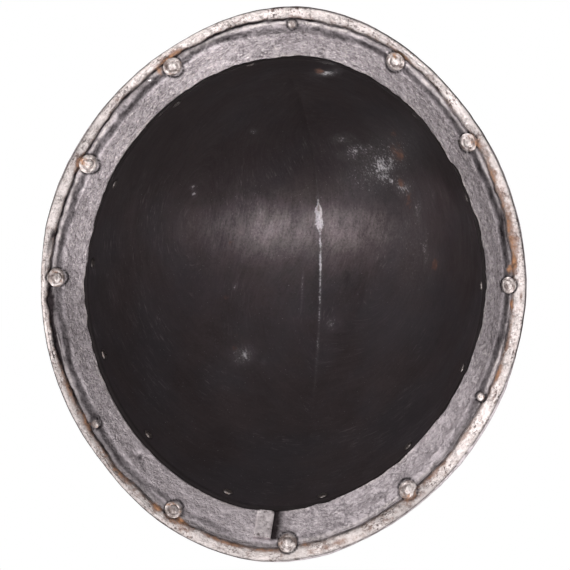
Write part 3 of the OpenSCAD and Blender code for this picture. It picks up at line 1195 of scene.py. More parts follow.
    def forge_inside(self, inner: Array) -> Array:
        """Works the inner skin: hammer marks, the keel's line, and the pucker with its ripples.

        Args:
            inner: its smooth points.

        Returns:
            The worked points.
        """
        hammer = Grain(11)
        normal = grid_normals(inner)
        seam, behind = self.seam(inner)
        high = smooth((inner[..., 2] - 105.0) / 45.0)
        spindle = self.spindle(behind)
        depth = (hammer.rough(inner, 17.0, 2) * self.hammer_mm
                 + hammer.rough(inner + 50.0, 5.0, 2) * 0.05)
        pucker = 2.3 * smooth(1.0 - np.abs(seam) / np.maximum(spindle, 0.01))
        pucker = pucker * (spindle > 0.05) * high
        line = 0.45 * np.exp(-np.abs(seam) / 0.8) * high
        ripple = 0.35 * (hill(behind, 6.5, 0.5) + hill(behind, 8.6, 0.5))
        ripple = np.where((behind > 2.0) & (np.abs(seam) < 3.0), ripple, 0.0)
        wrinkle = 0.18 * np.sin(seam * 2.6 + behind * 1.1) * hill(behind, -3.0, 5.0)
        wrinkle = wrinkle * hill(np.abs(seam), 4.0, 3.0) * high
        worked = inner.copy()
        worked[..., 2] += pucker + line - ripple + wrinkle
        quiet = smooth(np.arange(len(inner)) / 6.0)[:, None]
        return worked + normal * (depth * quiet)[..., None]

    def wear_outside(self, outer: Array) -> Array:
        """Wears shallow dents into the outer skin, away from its lower edge and the stalk.

        Args:
            outer: its smooth points.

        Returns:
            The worn points.
        """
        quiet = smooth(np.arange(len(outer)) / 20.0)[:, None]
        quiet = quiet * (1.0 - smooth((outer[..., 2] - FORM.top_z + 6.0) / 6.0))
        dents = np.abs(Grain(23).rough(outer, 22.0, 2)) * self.dent_mm * quiet
        return outer - grid_normals(outer) * dents[..., None]

    def lower_edge(self, inner: Array, outer: Array) -> Array:
        """Two rows that round off the skull's lower edge."""
        return np.array([inner + (outer - inner) * share for share in (0.3, 0.75)])

    def build(self) -> bpy.types.Object:
        """Builds the skull and stands it in for its solid.

        Returns:
            The piece.
        """
        t = self.angles()
        outer = FORM.skin(t, np.linspace(0.0, 1.0, self.outer_rows) * FORM.last_step, 0.0)
        outer = self.wear_outside(np.concatenate([outer, self.stalk(t, outer[-1])]))
        steps = np.linspace(0.0, 1.0, self.inner_rows) * FORM.last_step
        inner = FORM.skin(t, steps, FORM.skull_plate)
        inner = self.forge_inside(np.concatenate([inner, self.pit(t, inner[-1])]))

        rows = np.concatenate([inner[::-1], self.lower_edge(inner[0], outer[0]), outer])
        count = self.columns
        faces = [face[::-1] for face in grid_faces(len(rows), count, False)]
        faces.append(tuple(range(count - 1, -1, -1)))
        faces.append(tuple(range((len(rows) - 1) * count, len(rows) * count)))
        inside_rows = len(inner) + 3
        slots = np.zeros(len(faces))
        slots[inside_rows * count:] = 1
        slots[-2] = 0
        marks = self.inner_marks(rows, inside_rows)
        marks["ring"] = self.ring_marks(t, rows)
        marks["stroke"] = marks["ring"] * np.array([14.0, 14.0, 90.0])
        marks["ridge"] = self.ridge_marks(rows, inside_rows)
        piece = mesh_piece("skull_plate", rows, faces,
                           [self.finishes.inside, self.finishes.outside], slots, marks)
        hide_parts(self.node)
        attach(piece, "root")
        LOG.info("skull: %d faces", len(faces))
        return piece

    def bare_and_highlight_marks(self, rows: Array, patchy: Array, grain: Grain) -> Array:
        """Where the inside is painted bright: a painted highlight on the keel's line and the
        pucker, bare spots and a band of grit.

        Args:
            rows: the mesh's points.
            patchy: fine noise at them.
            grain: the noise that it is taken from.

        Returns:
            A share for each point.
        """
        x, y = rows[..., 0], rows[..., 1]
        seam, behind = self.seam(rows)
        # Painted highlight along the keel's line and on the pucker under the stalk
        fade = np.interp(y, [-70, -45, -25, 0, 25, 42, 50, 58],
                         [0.0, 0.35, 0.6, 1.0, 1.3, 0.6, 0.3, 0.0])
        line = hill(seam, 0.0, 0.75) * fade * (0.8 + 0.6 * grain.rough(rows, 4.0, 3))
        spindle = self.spindle(behind)
        body = smooth(1.5 - np.abs(seam) / np.maximum(spindle, 0.2)) * (spindle > 0.05)
        body = body * (1.3 - 0.4 * hill(behind, -3.8, 0.35) - 0.35 * hill(behind, -1.6, 0.35)
                       + 0.3 * hill(behind, 6.0, 2.5))
        bare = spotted(np.maximum(line, body), x, y, self.SPOTS, 0.9 + 0.6 * patchy)
        grit = (0.42 * hill(x + 0.55 * (y - 62.0), -40.0, 17.0) * hill(y, 62.0, 17.0)
                + 0.22 * hill(x, -58.0, 12.0) * hill(y, 20.0, 34.0))
        return np.maximum(bare, grit)

    def inner_marks(self, rows: Array, inside_rows: int) -> dict[str, Array]:
        """The inside's bare and rusty places, the painted highlight on the keel's line and pucker,
        the painted sheen on its crown, and its tone: painted shade with a little random tone.

        Args:
            rows: the mesh's points.
            inside_rows: how many rows, from the first, lie inside.

        Returns:
            The marks by name.
        """
        inner = np.zeros(rows.shape[:2])
        inner[:inside_rows] = 1.0
        x, y = rows[..., 0], rows[..., 1]
        grain = Grain(5)
        patchy = grain.rough(rows, 6.0, 3)
        bright = self.bare_and_highlight_marks(rows, patchy, grain)
        rust = spotted(np.zeros_like(x), x, y, self.RUSTY, 0.9 + patchy)
        height = FORM.share(rows[..., 2])
        # Painted shade: darker low down and darkest on the skull's lower edge; also darker at a
        # small spot at x -20.7 and towards the rear, with a little random tone
        tone = 0.62 + 0.38 * smooth((height - 0.12) / 0.55)
        tone += 0.1 * grain.rough(rows + 20.0, 26.0, 2)
        tone *= 0.55 + 0.45 * smooth((height - 0.004) / 0.022)
        tone *= 1.0 - 0.75 * (height < 0.0012)
        tone *= 1.0 - 0.5 * hill(x, -20.7, 2.2) * hill(y, 0.0, 4.5)
        tone *= 1.0 - 0.58 * smooth((y - 22.0) / 46.0) - 0.12 * hill(y, 0.0, 30.0)
        # Painted sheen: a reflection painted onto the crown in two lobes beside the keel, with a
        # faint wider haze
        painted_sheen = np.exp(-((x - 7.0) / 50.0) ** 4 - ((y - 26.5) / 12.5) ** 2)
        lobes = (0.62 + 0.5 * hill(x, 25.0, 9.0) + 0.25 * hill(x, -22.0, 8.0)
                 + 0.3 * hill(x, -42.0, 8.0) + 0.55 * hill(x, -12.0, 3.5))
        painted_sheen = 0.66 * painted_sheen * lobes + 0.06 * hill(x, 5.0, 62.0) * hill(y, 25.0, 34.0)
        painted_sheen *= 1.0 + 0.35 * patchy
        marks = {name: np.clip(mark, 0.0, 1.0) * inner
                 for name, mark in (("bright", bright), ("rust", rust), ("painted_sheen", painted_sheen))}
        return {**marks, "tone": tone * inner}

    def ring_marks(self, t: Array, rows: Array) -> Array:
        """Places for the scratches: round the skull low down, and along the keel in its crown.

        Args:
            t: angles of the columns.
            rows: the mesh's points.

        Returns:
            One place a point.
        """
        turn = np.radians(t)[None, :]
        x, y = rows[..., 0], rows[..., 1]
        height = FORM.share(rows[..., 2])
        girth = np.hypot(x, y - FORM.apex_back) / 100.0
        crown = smooth((height - 0.45) / 0.4)
        stray = 0.02 * Grain(67).rough(rows, 30.0, 2)
        low = height + (1.0 - girth) * 0.8
        high = x / 75.0 + 0.15 * np.sin(y / 26.0)
        across = (1.0 - crown) * low + crown * high + stray
        along = (1.0 - crown) * np.cos(turn) + crown * y / 60.0
        other = (1.0 - crown) * np.sin(turn) + crown * 0.3
        return np.stack([along, other, across], -1)

    def ridge_marks(self, rows: Array, inside_rows: int) -> Array:
        """Outer places worn bright: the keel's crest and the stalk.

        Args:
            rows: the mesh's points.
            inside_rows: how many rows, from the first, lie inside.

        Returns:
            A share for each point.
        """
        x, y, z = rows[..., 0], rows[..., 1], rows[..., 2]
        climb = np.clip(FORM.share(z), 0.0, 1.0)
        off = np.abs(FORM.crest_distance(x + FORM.apex_side * climb, y - FORM.apex_back * climb))
        ridge = 0.7 * np.exp(-off / 2.2) * smooth((z - 45.0) / 40.0)
        ridge = np.maximum(ridge, 0.6 * smooth((z - FORM.top_z - 2.0) / 6.0))
        ridge[:inside_rows] = 0.0
        return ridge


# The brim


@dataclass
class Brim:
    """The brim: turned edge, land, hollow, flare and collar in one closed ring."""

    finishes: Finishes
    columns: int = 720
    node: str = "brim"

    # Bearing and width of the turned edge, where the hammer left it wide or narrow
    HEM = (
        (174, 5.4), (168, 6.3), (162, 6.0), (150, 5.6), (138, 6.0), (132, 5.9), (126, 5.1),
        (120, 4.4), (114, 4.9), (102, 5.7), (84, 5.8), (72, 5.6), (64, 5.1), (54, 4.7), (48, 4.4),
        (42, 4.9), (36, 4.9), (24, 5.7), (6, 5.8), (-1.5, 5.0), (-4, 3.9), (-12, 3.9), (-18, 4.5),
        (-30, 5.0), (-42, 5.3), (-48, 4.4), (-54, 5.5), (-60, 5.0), (-72, 6.4), (-84, 6.2),
        (-96, 6.5), (-102, 6.9), (-108, 6.4), (-126, 6.8), (-132, 6.5), (-141, 6.8), (-150, 6.3),
        (-156, 5.7), (-162, 5.9), (-168, 6.5), (-175, 6.7))
    # Bearing and darkness of the painted shade in the line where the turned edge lies on the plate
    FOLD = (
        (174, 0.6), (168, 0.35), (156, 0.7), (150, 0.35), (138, 0.4), (132, 0.15), (126, 0.7),
        (114, 0.85), (102, 0.95), (84, 0.9), (72, 0.9), (64, 0.6), (54, 0.9), (42, 0.95),
        (24, 0.95), (-24, 0.95), (-42, 0.85), (-48, 0.6), (-54, 0.35), (-66, 0.55), (-78, 0.4),
        (-84, 0.25), (-96, 0.25), (-105, 0.5), (-114, 0.35), (-126, 0.25), (-135, 0.4),
        (-144, 0.1), (-153, 0.4), (-162, 0.1), (-168, 0.5), (-174, 0.1))
    # Bearing and strength of the painted highlight on the ridge that stands beside the turned edge
    LAND = (
        (174, 0.1), (165, 0.0), (156, 0.15), (150, 0.4), (138, 0.3), (132, 0.6), (126, 0.8),
        (120, 0.5), (114, 0.25), (108, 0.7), (99, 0.9), (90, 0.55), (84, 1.0), (78, 0.55),
        (60, 0.35), (54, 0.25), (48, 0.35), (42, 1.0), (36, 0.75), (24, 0.6), (18, 0.5),
        (12, 0.75), (6, 0.4), (-6, 0.2), (-12, 0.45), (-24, 0.25), (-30, 0.1), (-48, 0.0),
        (-60, 0.15), (-78, 0.25), (-90, 0.2), (-96, 0.5), (-102, 0.8), (-114, 0.5), (-126, 0.4),
        (-138, 0.2), (-150, 0.3), (-156, 0.6), (-162, 0.6), (-168, 0.05), (-174, 0.6))
    # Bearing and inset of the hollow's middle
    TROUGH = (
        (174, 9.2), (168, 8.8), (162, 8.5), (156, 8.8), (150, 9.4), (138, 9.2), (114, 9.3),
        (108, 10.1), (102, 10.6), (96, 10.2), (90, 10.7), (84, 10.4), (78, 8.8), (72, 8.3),
        (60, 8.9), (54, 8.9), (48, 9.4), (42, 9.0), (36, 8.7), (24, 8.8), (18, 9.7), (12, 8.9),
        (6, 9.2), (-6, 8.6), (-12, 9.7), (-18, 8.9), (-24, 9.7), (-30, 8.8), (-36, 9.8),
        (-42, 8.6), (-48, 8.3), (-54, 9.4), (-60, 10.5), (-72, 10.9), (-78, 10.2), (-96, 11.0),
        (-108, 10.0), (-140, 9.2), (-150, 9.2), (-156, 9.9), (-162, 9.5), (-168, 9.0), (-174, 9.5))
    # Bearing and darkness of the painted shade in the hollow
    HOLLOW = (
        (174, 0.82), (150, 0.8), (138, 0.62), (130, 0.55), (120, 0.78), (108, 0.8), (102, 0.75),
        (90, 0.68), (78, 0.85), (60, 0.8), (54, 0.85), (42, 0.72), (36, 0.82), (12, 0.72),
        (0, 0.7), (-12, 0.6), (-18, 0.8), (-36, 0.85), (-48, 0.7), (-54, 0.5), (-60, 0.62),
        (-72, 0.5), (-78, 0.4), (-84, 0.05), (-90, 0.2), (-96, 0.4), (-102, 0.28), (-110, 0.1),
        (-132, 0.05), (-138, 0.42), (-150, 0.75), (-160, 0.65), (-168, 0.8), (-178, 0.85))
    # Bearing and sharpness of the step between the land and the flare
    STEP = (
        (178, 0.9), (138, 0.7), (122, 0.75), (38, 0.8), (-36, 0.7), (-60, 0.55), (-64, 0.3),
        (-82, 0.1), (-136, 0.1), (-140, 0.45), (-154, 0.8), (-175, 0.9))
    # Bearing and tone of the plate, and of the turned edge: painted light and shade, lighter or
    # darker as each bearing is lit
    PLATE_TONE = (
        (174, 0.88), (150, 0.86), (126, 0.94), (104, 1.15), (90, 0.96), (74, 1.4), (54, 1.12),
        (36, 1.3), (6, 1.08), (-10, 0.82), (-32, 1.08), (-56, 1.25), (-84, 1.26), (-100, 1.08),
        (-120, 1.15), (-140, 1.25), (-152, 1.25), (-164, 0.84))
    HEM_TONE = (
        (174, 1.1), (150, 0.9), (132, 1.05), (118, 1.12), (102, 0.96), (80, 1.18), (60, 1.12),
        (36, 0.74), (18, 0.88), (-9, 1.25), (-22, 0.82), (-36, 0.74), (-54, 0.74), (-64, 1.0),
        (-92, 0.88), (-106, 1.05), (-120, 0.64), (-132, 1.15), (-150, 1.3), (-160, 1.15))
    # Bearing and roughness of the plate
    RUGGED = (
        (180, 1.0), (132, 1.0), (120, 0.75), (100, 0.7), (78, 0.75), (60, 0.95), (20, 0.85),
        (6, 0.6), (-10, 0.8), (-30, 0.75), (-48, 0.35), (-90, 0.25), (-118, 0.35), (-145, 0.3),
        (-160, 0.7))
    # Bearing and waver of the outer edge, inwards
    EDGE = (
        (180, -0.3), (148, -0.4), (140, 0.1), (132, 0.4), (122, 0.2), (116, -0.2), (104, -0.3),
        (94, -0.3), (80, 0.2), (68, 0.7), (60, 0.2), (52, -0.1), (36, -0.6), (24, -0.6), (14, 0.0),
        (8, 0.7), (0, 1.1), (-8, 0.6), (-20, 0.1), (-36, 0.2), (-44, 0.8), (-56, 0.3), (-60, -0.1),
        (-84, -0.2), (-96, -0.8), (-100, -0.9), (-108, -0.5), (-124, -0.6), (-136, -1.2),
        (-156, -0.9), (-164, -0.2), (-172, 0.0))
    # Bearing and length of the lip that runs in under the skull
    LIP = (
        (180, 0.1), (170, 0.0), (160, 0.8), (151, 0.6), (147, 0.1), (144, 1.4), (138, 0.6),
        (130, 0.5), (120, 0.1), (110, 0.2), (98, 0.4), (84, 0.9), (76, 0.4), (70, 0.0), (30, 0.0),
        (24, 0.2), (16, 1.4), (8, 1.6), (0, 0.6), (-8, 1.0), (-16, 0.4), (-26, 0.1), (-80, 0.0),
        (-90, 0.8), (-100, 1.3), (-106, 1.8), (-120, 1.8), (-132, 1.7), (-150, 1.1), (-160, 0.6),
        (-170, 0.4))
    # Rust: bearing, distance from the edge, half-width along and across, strength
    RUST = (
        (176.2, 7.4, 1.5, 2.1, 1.0), (174.3, 5.0, 2.3, 1.7, 0.9), (168, 4.0, 5.5, 2.7, 0.6),
        (161, 3.8, 5.5, 2.6, 0.56), (153, 4.4, 4.0, 2.2, 0.5), (144, 4.6, 2.5, 1.8, 0.5),
        (148.5, 3.4, 3.0, 1.8, 0.4), (118, 4.4, 2.8, 1.1, 0.5), (64, 4.0, 3.0, 1.5, 0.6),
        (60.5, 6.4, 1.0, 2.2, 0.6), (31.5, 5.2, 1.8, 2.4, 0.85), (33.5, 8.5, 0.8, 2.6, 0.6),
        (-34.5, 5.0, 3.5, 1.9, 0.56), (-30, 4.0, 9.0, 1.5, 0.38), (-48, 4.0, 8.0, 1.8, 0.42),
        (-61, 4.8, 1.6, 1.8, 0.75), (-67.5, 6.0, 1.8, 1.8, 0.75), (-66, 3.6, 6.0, 1.6, 0.45),
        (-78, 5.6, 6.5, 1.0, 0.5), (-86, 5.6, 4.0, 1.8, 0.4), (-95.5, 7.0, 1.0, 2.0, 0.5),
        (-106, 3.2, 12.0, 1.8, 0.42), (-122, 4.6, 3.0, 2.6, 0.5), (-158, 5.0, 3.0, 1.4, 0.6),
        (-175.5, 7.0, 1.6, 1.2, 0.85), (-177.5, 2.4, 1.6, 0.8, 0.5), (-143, 5.4, 4.0, 1.0, 0.36),
        (-130, 5.2, 5.0, 1.6, 0.4), (-168, 5.2, 5.0, 1.0, 0.38))
    # How many rows each span of the lower side and of the upper side becomes
    LOWER_STEPS = [3, 3, 3, 5, 4, 3, 3, 3, 3, 3, 4, 4, 10, 9, 3]
    UPPER_STEPS = [2, 6, 6, 3, 2, 3, 3, 3, 2, 1]
    FOLD_STATION = 7

    def hem_width(self, edge: Array, bearing: Array) -> Array:
        """Width of the turned edge at each column, with the unevenness of hand work.

        Args:
            edge: the edge in plan.
            bearing: each column's bearing.

        Returns:
            The widths.
        """
        ring = np.pad(edge, ((0, 0), (0, 1)))
        wander = Grain(31)
        return (around(bearing, self.HEM) + 0.42 * wander.rough(ring, 8.0, 2)
                + 0.2 * wander.rough(ring + 17.0, 3.0, 2))

    def stations(self, t: Array) -> tuple[Array, Array, Array, Array]:
        """The lower side's section at each column.

        Args:
            t: angles of the columns.

        Returns:
            The section's points (inward distance and height) with one row a station, the edge
            in plan, the unit way inward in plan, and each column's bearing.
        """
        edge, crease = FORM.oval(t, 0.0, True), FORM.oval(t, FORM.lap_gap)
        way = crease - edge
        reach = np.hypot(way[:, 0], way[:, 1])
        way = way / reach[:, None]
        bearing = np.degrees(np.arctan2(edge[:, 1], edge[:, 0]))
        ring = np.pad(edge, ((0, 0), (0, 1)))
        wander = Grain(31)
        hem = self.hem_width(edge, bearing)
        worn = around(bearing, self.EDGE) + 0.12 * wander.rough(ring + 40.0, 5.0, 2)
        lip = around(bearing, self.LIP) + 0.55 * wander.rough(ring + 90.0, 8.0, 4)
        lip = np.clip(lip, 0.0, 1.85)
        sharp = around(bearing, self.STEP)
        z, drop, end = FORM.land_z, FORM.brim_drop, FORM.land_end
        land = np.maximum(end - 0.6 * (1.0 - sharp), hem + 1.3)
        foot, top = z + 2.4 + 0.6 * sharp, drop - 0.45 + 0.12 * lip
        even = foot + (top - foot) * (reach - end - 7.3) / (reach + lip - end - 3.4)
        points = [(worn, 1.9), (worn + 0.14, 0.75), (worn + 0.6, 0.06), (worn + 2.1, 0.05),
                  (hem - 1.9, 0.75), (hem - 0.5, 1.35), (hem - 0.05, 2.35), (hem + 0.12, 3.3),
                  (hem + 0.6, 3.0), (hem * 0.5 + land * 0.5 + 0.15, 2.85),
                  (land, z - 0.1 + 0.35 * (1.0 - sharp)), (land + 1.1, z + 0.75 + 0.75 * sharp),
                  (end + 2.7, foot), (reach - 4.6, 0.35 * (drop - 3.5) + 0.65 * even),
                  (reach + lip - 0.7, top), (reach + lip, drop + 0.3)]
        return section(points, reach), edge, way, bearing

    def build(self) -> bpy.types.Object:
        """Builds the brim and stands it in for its solid.

        Returns:
            The piece.
        """
        t = np.arange(self.columns) * 360.0 / self.columns
        stations, edge, way, bearing = self.stations(t)
        fold_row = sum(self.LOWER_STEPS[:self.FOLD_STATION])
        lower = relax(divide(stations, self.LOWER_STEPS), 3, [fold_row])
        plan = edge[None] + way[None] * lower[..., :1]
        lower_points = np.concatenate([plan, lower[..., 1:]], -1)
        others = np.concatenate([self.collar(t), self.upper_side(t, edge, way, lower[0, :, 0])])
        rows = np.concatenate([lower_points, others])
        distance = np.concatenate([lower[..., 0], np.full((len(others), self.columns), -1.0)])

        rows, marks = self.work(rows, grid_normals(rows), distance, bearing, len(lower),
                                self.hem_width(edge, bearing))
        faces = grid_faces(len(rows), self.columns, True)
        slots = np.zeros(len(faces))
        slots[(len(lower) + 1) * self.columns:] = 1
        piece = mesh_piece("brim_plate", rows, faces,
                           [self.finishes.underside, self.finishes.outside], slots, marks)
        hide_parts(self.node)
        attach(piece, "root")
        LOG.info("brim: %d faces", len(faces))
        return piece

    def collar(self, t: Array) -> Array:
        """Rows of the collar: up its inner side, over its upper edge and down its outer side.

        Args:
            t: angles of the columns.

        Returns:
            The rows.
        """

        def ring(share: float, gap: float) -> Array:
            """A ring of the collar at a share of its height, a gap off the skull's plan.

            Args:
                share: the share.
                gap: the gap.

            Returns:
                One point a column.
            """
            u = FORM.climb_of(FORM.collar_h * share) if share > 0 else 0.0
            plan = FORM.oval(t, gap)
            climb, girth = float(FORM.climb(np.array(u))), float(FORM.girth(np.array(u)))
            return np.stack([plan[:, 0] * girth - FORM.apex_side * climb,
                             plan[:, 1] * girth + FORM.apex_back * climb,
                             np.full(len(t), FORM.base_z + FORM.skull_h * climb)], -1)

        near = FORM.lap_gap
        far = near + FORM.brim_plate
        rings = [(0.0, near), (0.5, near), (0.97, near), (1.0, near + 0.3), (1.0, far - 0.4),
                 (0.975, far), (0.9, far), (0.75, far), (0.6, far), (0.45, far), (0.3, far),
                 (0.18, far)]
        return np.array([ring(share, gap) for share, gap in rings])

    def upper_side(self, t: Array, edge: Array, way: Array, worn: Array) -> Array:
        """Rows from the foot of the collar over the flare to the worn edge.

        Args:
            t: angles of the columns.
            edge: the edge in plan.
            way: the unit way inward.
            worn: how far in the worn edge lies.

        Returns:
            The rows.
        """
        crease = FORM.oval(t, FORM.lap_gap)
        reach = np.hypot(*(crease - edge).T)
        drop, z, end, plate = FORM.brim_drop, FORM.land_z, FORM.land_end, FORM.brim_plate
        points = [(reach - plate - 0.15, drop + 2.2), (reach - plate - 0.6, drop + 0.95),
                  (reach - 5.6, drop - 2.25), (end + 1.9, z + 4.2), (end - 0.1, z + 2.5),
                  (end - 1.0, z + 1.4), (5.7, z + 1.2), (3.5, z + 0.75), (worn + 1.5, z + 0.1),
                  (worn + 0.4, z - 0.6), (worn + 0.05, z - 1.2)]
        dense = relax(divide(section(points, reach), self.UPPER_STEPS), 2, [])
        return np.concatenate([edge[None] + way[None] * dense[..., :1], dense[..., 1:]], -1)

    def work(self, rows: Array, normal: Array, distance: Array, bearing: Array, lower: int,
             width: Array) -> tuple[Array, dict[str, Array]]:
        """Works the ring over: hammer marks, dents, wear, rust, painted shade and highlights, and
        painted light and shade by bearing.

        Args:
            rows: the ring's points.
            normal: the way out of its surface.
            distance: on the lower side, the distance in from the edge; -1 elsewhere.
            bearing: each column's bearing.
            lower: how many rows the lower side has.
            width: each column's width of turned edge.

        Returns:
            The worked points and the marks for the finishes.
        """
        under = distance >= 0.0
        turn = np.broadcast_to(bearing, distance.shape)
        hem = np.broadcast_to(width, distance.shape)
        on_hem = under * (1.0 - smooth((distance - hem + 0.1) / 0.5))
        on_band = under * smooth((distance - 10.5) / 1.5)
        grain, lumps = Grain(41), Grain(43)
        forged = lumps.rough(rows, 11.0, 3) * 0.2 + grain.rough(rows, 3.4, 2) * 0.07
        beaten = lumps.rough(rows + 30.0, 6.0, 2) * 0.14 + grain.rough(rows + 60.0, 2.2, 2) * 0.06
        rugged = around(turn, self.RUGGED)
        scale = np.abs(grain.rough(rows + 80.0, 4.5, 2)) - 0.3
        depth = on_band * (forged * 1.3 + 0.22 * scale) * (0.4 + 0.6 * rugged)
        depth += on_hem * beaten * smooth(distance / 2.0)
        depth += (under * 0.04 + ~under * 0.09) * lumps.rough(rows, 9.0, 2)
        dent = 0.9 * hill(apart(turn, -50.5), 0.0, 1.1) * hill(distance, 15.8, 1.8)
        rim = 0.5 * hill(apart(turn, -51.9), 0.0, 0.5) * hill(distance, 14.9, 1.6)
        quiet = np.ones(len(rows))
        quiet[lower:lower + 5] = 0.0
        quiet[:3] = 0.0
        quiet[-3:] = 0.0
        worked = rows + normal * ((depth - dent + rim) * quiet[:, None])[..., None]
        worked[..., 2] = np.maximum(worked[..., 2], 0.0)

        patchy = grain.rough(rows, 5.0, 3)
        round_way = np.radians(turn)
        lane = np.stack([125.0 * np.cos(round_way), 125.0 * np.sin(round_way), 3.4 * distance], -1)
        drawn, slow = grain.rough(lane, 6.0, 3), lumps.rough(rows + 70.0, 13.0, 2)
        # Painted shade: the fold, the hollow, the creases, the dent, rings round the fastenings and
        # the strap's shadow
        painted_shade = self.grime(rows, turn, distance, hem, patchy, drawn, slow) * under
        # Painted shade on the outer wall of the turned edge
        wall_shade = 0.92 * smooth((rows[..., 2] - 0.12) / 0.35) * (distance < 1.2) * under
        rust = self.rust_spots(turn, distance) * under * (0.9 + 0.5 * patchy)
        rust = rust + 0.22 * on_hem * smooth((distance - hem + 2.2) / 2.0)
        # Painted highlight along the plate's inner edge where it meets the skull
        lip = hill(distance, distance[lower - 1] - 0.35, 0.5) * under
        lip = lip * (0.3 + 0.6 * grain.rough(rows, 8.0, 2))
        # Painted highlight on the ridge beside the turned edge
        ridge_share = around(turn, self.LAND)
        land = ridge_share * (1.0 + 0.5 * drawn) * hill(distance, hem + 1.7 + 0.3 * slow, 0.9)
        bright = np.maximum(lip, land * under * (1.0 + 0.5 * patchy))
        # Painted shade at the outer edge, on the inner side of the turned edge and on the outer
        # wall
        rim_shade = 1.0 - 0.86 * hill(distance, 0.0, 0.72)
        rim_shade -= 0.25 * smooth((distance - hem + 2.4) / 2.4)
        rim_shade *= 1.0 - 0.6 * smooth((rows[..., 2] - 0.35) / 0.6) * (distance < 2.0)
        tone = on_hem * around(turn, self.HEM_TONE) * rim_shade
        tone *= 1.0 + 0.12 * lumps.rough(rows + 9.0, 9.0, 2)
        # Near the land the plate is painted darker, and lighter where the ridge's painted highlight
        # is strong
        low = smooth((9.4 - distance) / 1.6) * under
        plate = around(turn, self.PLATE_TONE) * (1.0 - low) + (0.45 + 0.65 * ridge_share) * low
        tone = tone + (1.0 - on_hem) * plate
        worn = np.zeros(len(rows))
        worn[-8:-3] = 0.15
        worn[lower + 3:lower + 7] = 0.5
        marks = {name: np.clip(mark, 0.0, 1.0) for name, mark in (
            ("painted_shade", np.maximum(painted_shade, wall_shade)), ("rust", rust), ("bright", bright))}
        return worked, {"hem": on_hem, **marks, "tone": tone, "ridge": worn[:, None] * ~under,
                        "lane": lane, "rugged": rugged * on_band}

    def rust_spots(self, turn: Array, distance: Array) -> Array:
        """How strong the rust is at bearings and distances in from the edge.

        Args:
            turn: the bearings.
            distance: the distances.

        Returns:
            One number a place.
        """
        rust = np.zeros_like(distance)
        for where, inset, along, across, strength in self.RUST:
            spot = strength * hill(apart(turn, where), 0.0, along)
            rust = np.maximum(rust, spot * hill(distance, inset, across))
        return rust

    def grime(self, rows: Array, turn: Array, distance: Array, hem: Array, patchy: Array,
              drawn: Array, slow: Array) -> Array:
        """Where painted shade darkens the lower side.

        Args:
            rows: the ring's points.
            turn: their bearings.
            distance: their distance in from the edge.
            hem: the width of the turned edge there.
            patchy: fine noise.
            drawn: noise that is drawn out along the edge.
            slow: wide noise.

        Returns:
            The painted shade of the fold's line, the hollow, the dark creases, the streak and pock
            at the dent, the rings round the fastenings, and the strap's shadow.
        """
        # Painted shade in the crease where the turned edge lies on the plate
        fold = hill(distance, hem + 0.15 - 0.25 * slow, 0.55 + 0.25 * drawn)
        fold = around(turn, self.FOLD) * (1.0 + 0.3 * slow) * fold
        fold = np.maximum(fold, hill(apart(turn, -5.0), 0.0, 4.5) * hill(distance, 6.2, 1.1))
        # Painted shade in the hollow between the land and the flare
        trough = distance - around(turn, self.TROUGH) - 0.3 * patchy - 0.55 * slow
        trough = trough / (1.5 + 0.35 * drawn)
        hollow = around(turn, self.HOLLOW) * np.exp(-trough ** 4) * (1.0 + 0.35 * drawn)
        # Painted shade in a dark crease beside the turned edge round bearing -10
        second = 1.2 * np.exp(-(apart(turn, -10.0) / 10.5) ** 8
                              - ((distance - 5.3 - 0.3 * slow) / (1.75 + 0.5 * drawn)) ** 4)
        second *= 1.0 - 0.75 * hill(distance, 6.2 + 0.4 * slow, 0.4)
        # Painted shade in a ragged dark patch at the fold round bearing 8.5
        third = (0.75 + 0.9 * patchy) * hill(apart(turn, 8.5), 0.0, 6.0) * hill(distance, 4.3, 1.5)
        # Painted shadow that the strap casts on the plate beside it
        beside = np.exp(-(np.clip(-88.4 - turn, 0.0, None) / 1.9) ** 1.5)
        beside = 0.95 * smooth((-87.3 - turn) / 0.4) * beside * smooth((distance - 9.0) / 2.0)
        # Painted shade in and beside the dent near bearing -51
        off = apart(turn, -51.0)
        streak = 0.5 * smooth((off + 6.0) / 5.0) * smooth((-50.0 - apart(turn, 0.0)) / 2.0)
        streak = streak * hill(distance, 14.2 + 0.25 * off, 0.8)
        pock = 0.9 * hill(apart(turn, -50.7), 0.0, 0.5) * hill(distance, 15.9, 1.4)
        return np.maximum.reduce([fold * (0.85 + 0.4 * patchy), 0.78 * hollow, second, third,
                                  streak, 0.85 * self.rivet_rings(rows), pock, beside])

    def rivet_rings(self, rows: Array) -> Array:
        """The painted shade in a ring round each round plate and stub.

        Args:
            rows: the mesh's points.

        Returns:
            A share for each point.
        """
        dark = np.zeros(rows.shape[:2])
        for number, place in enumerate(BrimFastenings.places(), 1):
            off = np.hypot(rows[..., 0] - place[0], rows[..., 1] - place[1])
            plate = 4.75 * sum(BrimFastenings.PLATES[number - 1]) / 2.0
            radius = 2.5 if number in BARE_RIVETS else plate
            dark = np.maximum(dark, 1.1 * hill(off, radius + 0.15, 0.55))
        return dark


# Fastenings


